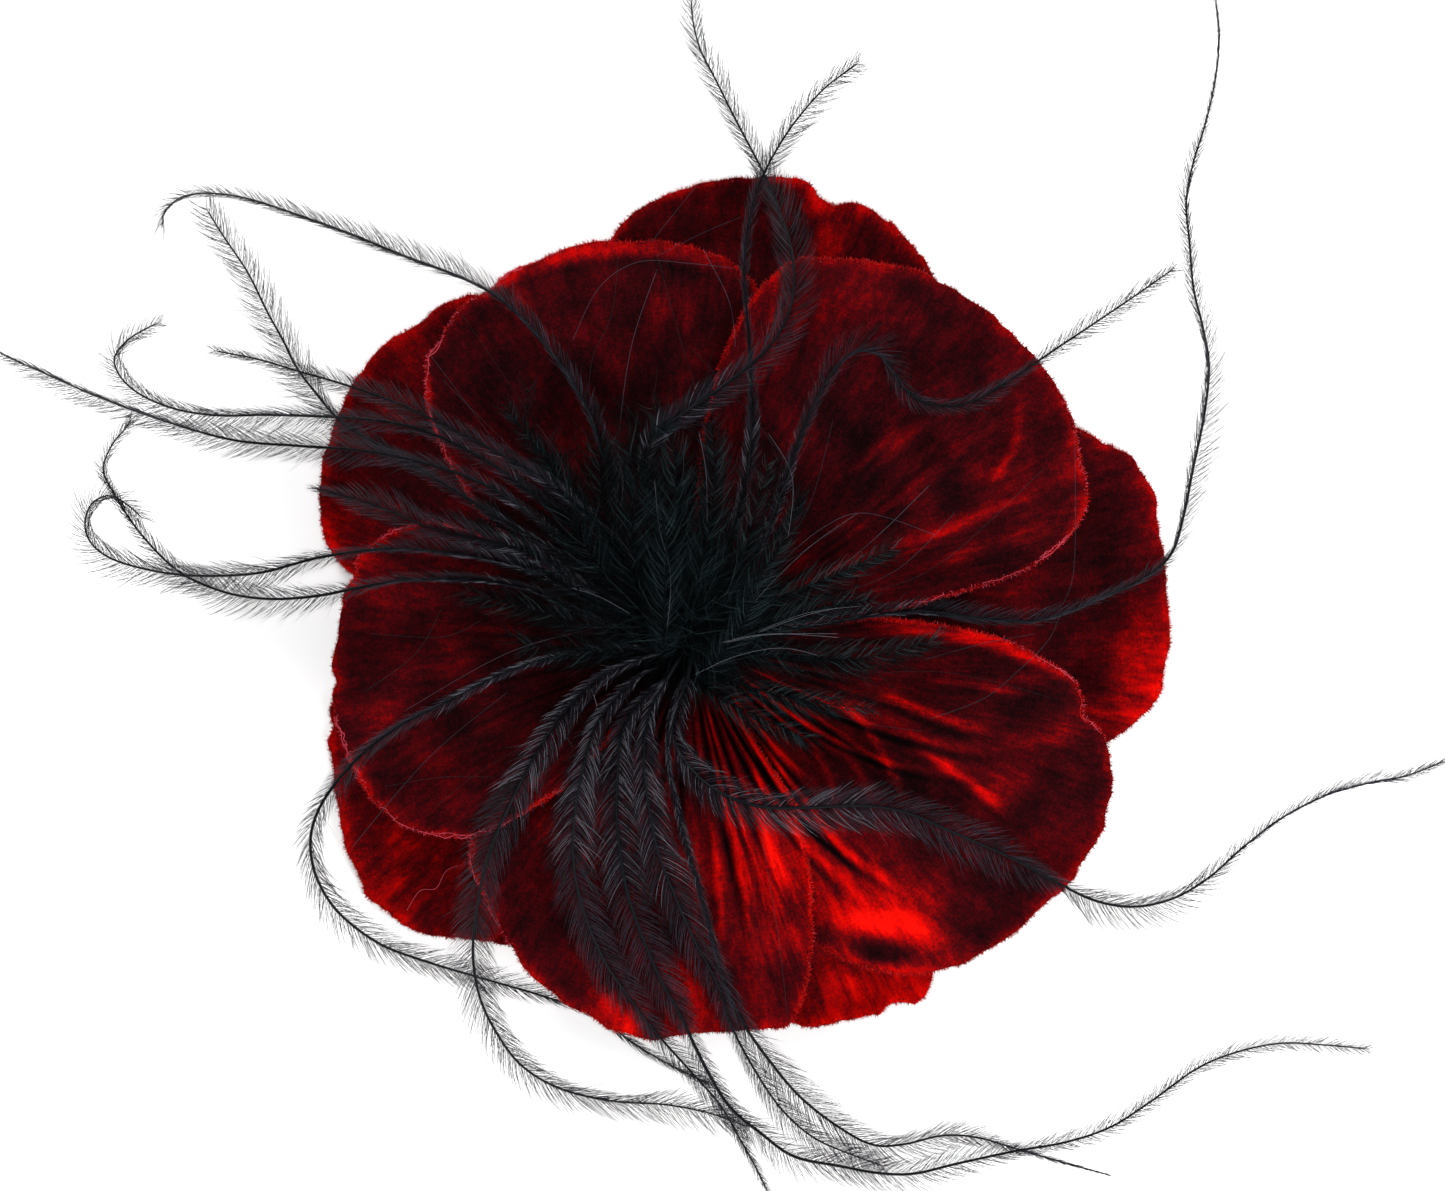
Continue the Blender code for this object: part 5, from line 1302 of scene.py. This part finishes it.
FELT_RADIUS, FELT_Z = 23.9, (10.95, 12.65)
BUCKRAM_RADIUS, BUCKRAM_Z = 19.9, (13.0, 13.8)


def backing():
    felt_cloth = cloth_look("felt_cloth", (0.012, 0.012, 0.014), 0, 0.0004)
    felt = disc("felt_disc", FELT_RADIUS, *FELT_Z, felt_cloth, 0.12)
    fibres, stitches = felt_fibres(), rim_stitches()
    stiff_weave = cloth_look("stiff_weave", (0.05, 0.008, 0.012), 420.0, 0.0003)
    buckram = disc("buckram_cloth", BUCKRAM_RADIUS, *BUCKRAM_Z, stiff_weave, 0.05)
    for piece, slot in ((felt, "felt"), (fibres, "felt"), (stitches, "thread"), (buckram, "buckram")):
        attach(piece, "flower")
    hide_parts("felt_backing")
    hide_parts("buckram_disc")


# ---- the metal fittings ----


CORNER_ANGLE = math.radians(35)


def dress(node, mat, bevel=0.0):
    """A new look for a solid that keeps its shape."""
    obj = bpy.data.objects[node]
    if obj.material_slots:
        for slot in obj.material_slots:
            slot.material = mat
    else:
        obj.data.materials.append(mat)
    if bevel:
        modifier = obj.modifiers.new("soft edges", "BEVEL")
        modifier.width, modifier.segments = bevel * MM, 2
        modifier.limit_method, modifier.angle_limit = "ANGLE", CORNER_ANGLE
        modifier.harden_normals = False


def hardware():
    clip = metal_look("clip_nickel", (0.60, 0.60, 0.62), 0.26, (0.12, 1.0, 1.0))
    dress("base_plate", metal_look("plate_nickel", (0.50, 0.50, 0.52), 0.3, (0.2, 1.0, 1.0)), 0.08)
    for node in ("clip_upper_jaw", "clip_lower_jaw", "clip_rivet_front", "clip_rivet_back"):
        dress(node, clip, 0.08)
    dress("clip_pin", metal_look("pin_steel", (0.45, 0.45, 0.47), 0.33, (1.0, 0.15, 1.0)), 0.06)
    brooch = metal_look("brooch_nickel", (0.66, 0.66, 0.68), 0.27, (0.12, 1.0, 1.0))
    for node in ("brooch_bar", "hinge_bracket", "hinge_rivet", "pin_catch"):
        dress(node, brooch, 0.05)
    dress("brooch_needle", metal_look("needle_polish", (0.72, 0.72, 0.74), 0.16, (0.1, 1.0, 1.0)))
    dress("catch_sleeve", metal_look("sleeve_nickel", (0.70, 0.70, 0.66), 0.28, (1.0, 0.2, 1.0)), 0.04)
    dress("glue_plug", glue_look("hot_glue"), 0.5)


PIN_X, PIN_Z = 2.0, 4.2
SPRING_RADIUS, SPRING_TURNS, SPRING_PITCH, SPRING_WIRE, SPRING_LAP = 1.5, 3.5, 0.75, 0.5, 0.6


def on_coil(turn):
    """The wire's middle at this turn round the pin, which lies along Y."""
    return np.column_stack([PIN_X + SPRING_RADIUS * np.cos(turn + math.pi / 2),
                            SPRING_PITCH * (SPRING_TURNS / 2 - turn / math.tau),
                            PIN_Z + SPRING_RADIUS * np.sin(turn + math.pi / 2)])


def wire_piece(name, line, mat, body):
    piece = strand_piece(name, [one_strand(line, SPRING_WIRE / 2, sides=10, tip=0.04)], [mat])
    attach(piece, body)
    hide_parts("clip_spring")


def spring():
    """The clip's torsion spring: the coil and its upper leg stay on the pin, and the lower leg turns.

    The lower leg starts with a share of the last turn, so the wire stays whole as the lever swings.
    """
    mat = metal_look("spring_wire", (0.45, 0.45, 0.47), 0.3, (1.0, 1.0, 1.0))
    last, side = SPRING_TURNS * math.tau, SPRING_TURNS * SPRING_PITCH / 2
    coil, lap = on_coil(np.linspace(0, last, 110)), on_coil(np.linspace(last - SPRING_LAP, last, 10))
    upper = catmull([(7.4, side, 7.4), (4.6, side, 6.6), coil[0]], np.linspace(0, 1.9, 14))
    lower = catmull([coil[-1], (6.0, -side, 1.9), (12.0, -side, 1.35)], np.linspace(0.15, 2, 16))
    wire_piece("clip_coil", np.concatenate([upper, coil]), mat, "flower")
    wire_piece("clip_coil_leg", np.concatenate([lap, lower]), mat, "clip_jaw")


# ---- floor, light and camera ----


FLOOR_HALF, FLOOR_Z = 20.0, -0.0001  # metres


def floor():
    points = np.array([[-1, -1, 0], [1, -1, 0], [1, 1, 0], [-1, 1, 0]]) * FLOOR_HALF / MM
    mat = new_material("pale_floor", (0.92, 0.92, 0.92), 0.9, Specular_IOR_Level=0.05,
                       Emission_Color=(1, 1, 1, 1), Emission_Strength=0.30)
    obj = mesh_piece("floor", points, [np.array([[0, 1, 2, 3]])], [mat], smooth=False)
    obj.location.z = FLOOR_Z


def area_light(name, place, target, size, power):
    data = bpy.data.lights.new(name, "AREA")
    data.energy, data.size = power, size
    obj = bpy.data.objects.new(name, data)
    obj.location = place
    obj.rotation_euler = (Vector(target) - Vector(place)).to_track_quat("-Z", "Y").to_euler()
    obj.visible_camera = False
    bpy.context.scene.collection.objects.link(obj)


def lighting():
    scene = bpy.context.scene
    scene.world = bpy.data.worlds.new("studio")
    scene.world.use_nodes = True
    background = scene.world.node_tree.nodes["Background"]
    background.inputs["Color"].default_value = (1, 1, 1, 1)
    background.inputs["Strength"].default_value = 0.62
    area_light("key", (0.8, -0.75, 0.9), (0.01, 0, 0.02), 0.45, 17.0)
    area_light("top_rim", (-0.3, 0.9, 0.8), (0, 0, 0.02), 0.45, 9.0)
    scene.view_settings.view_transform = "Standard"


CAMERA_PLACE, PICTURE_LEVEL, PICTURE_WIDTH, SENSOR = (0.005, 0.00685, 2.5), 0.025, 0.2223, 36.0


def camera():
    data = bpy.data.cameras.new("camera")
    data.sensor_width = SENSOR
    data.lens = SENSOR * (CAMERA_PLACE[2] - PICTURE_LEVEL) / PICTURE_WIDTH
    data.clip_end = FLOOR_HALF
    obj = bpy.data.objects.new("camera", data)
    obj.location = CAMERA_PLACE
    bpy.context.scene.collection.objects.link(obj)
    bpy.context.scene.camera = obj


camera()
floor()
lighting()
petals()
feathers()
bundle()
backing()
hardware()
spring()
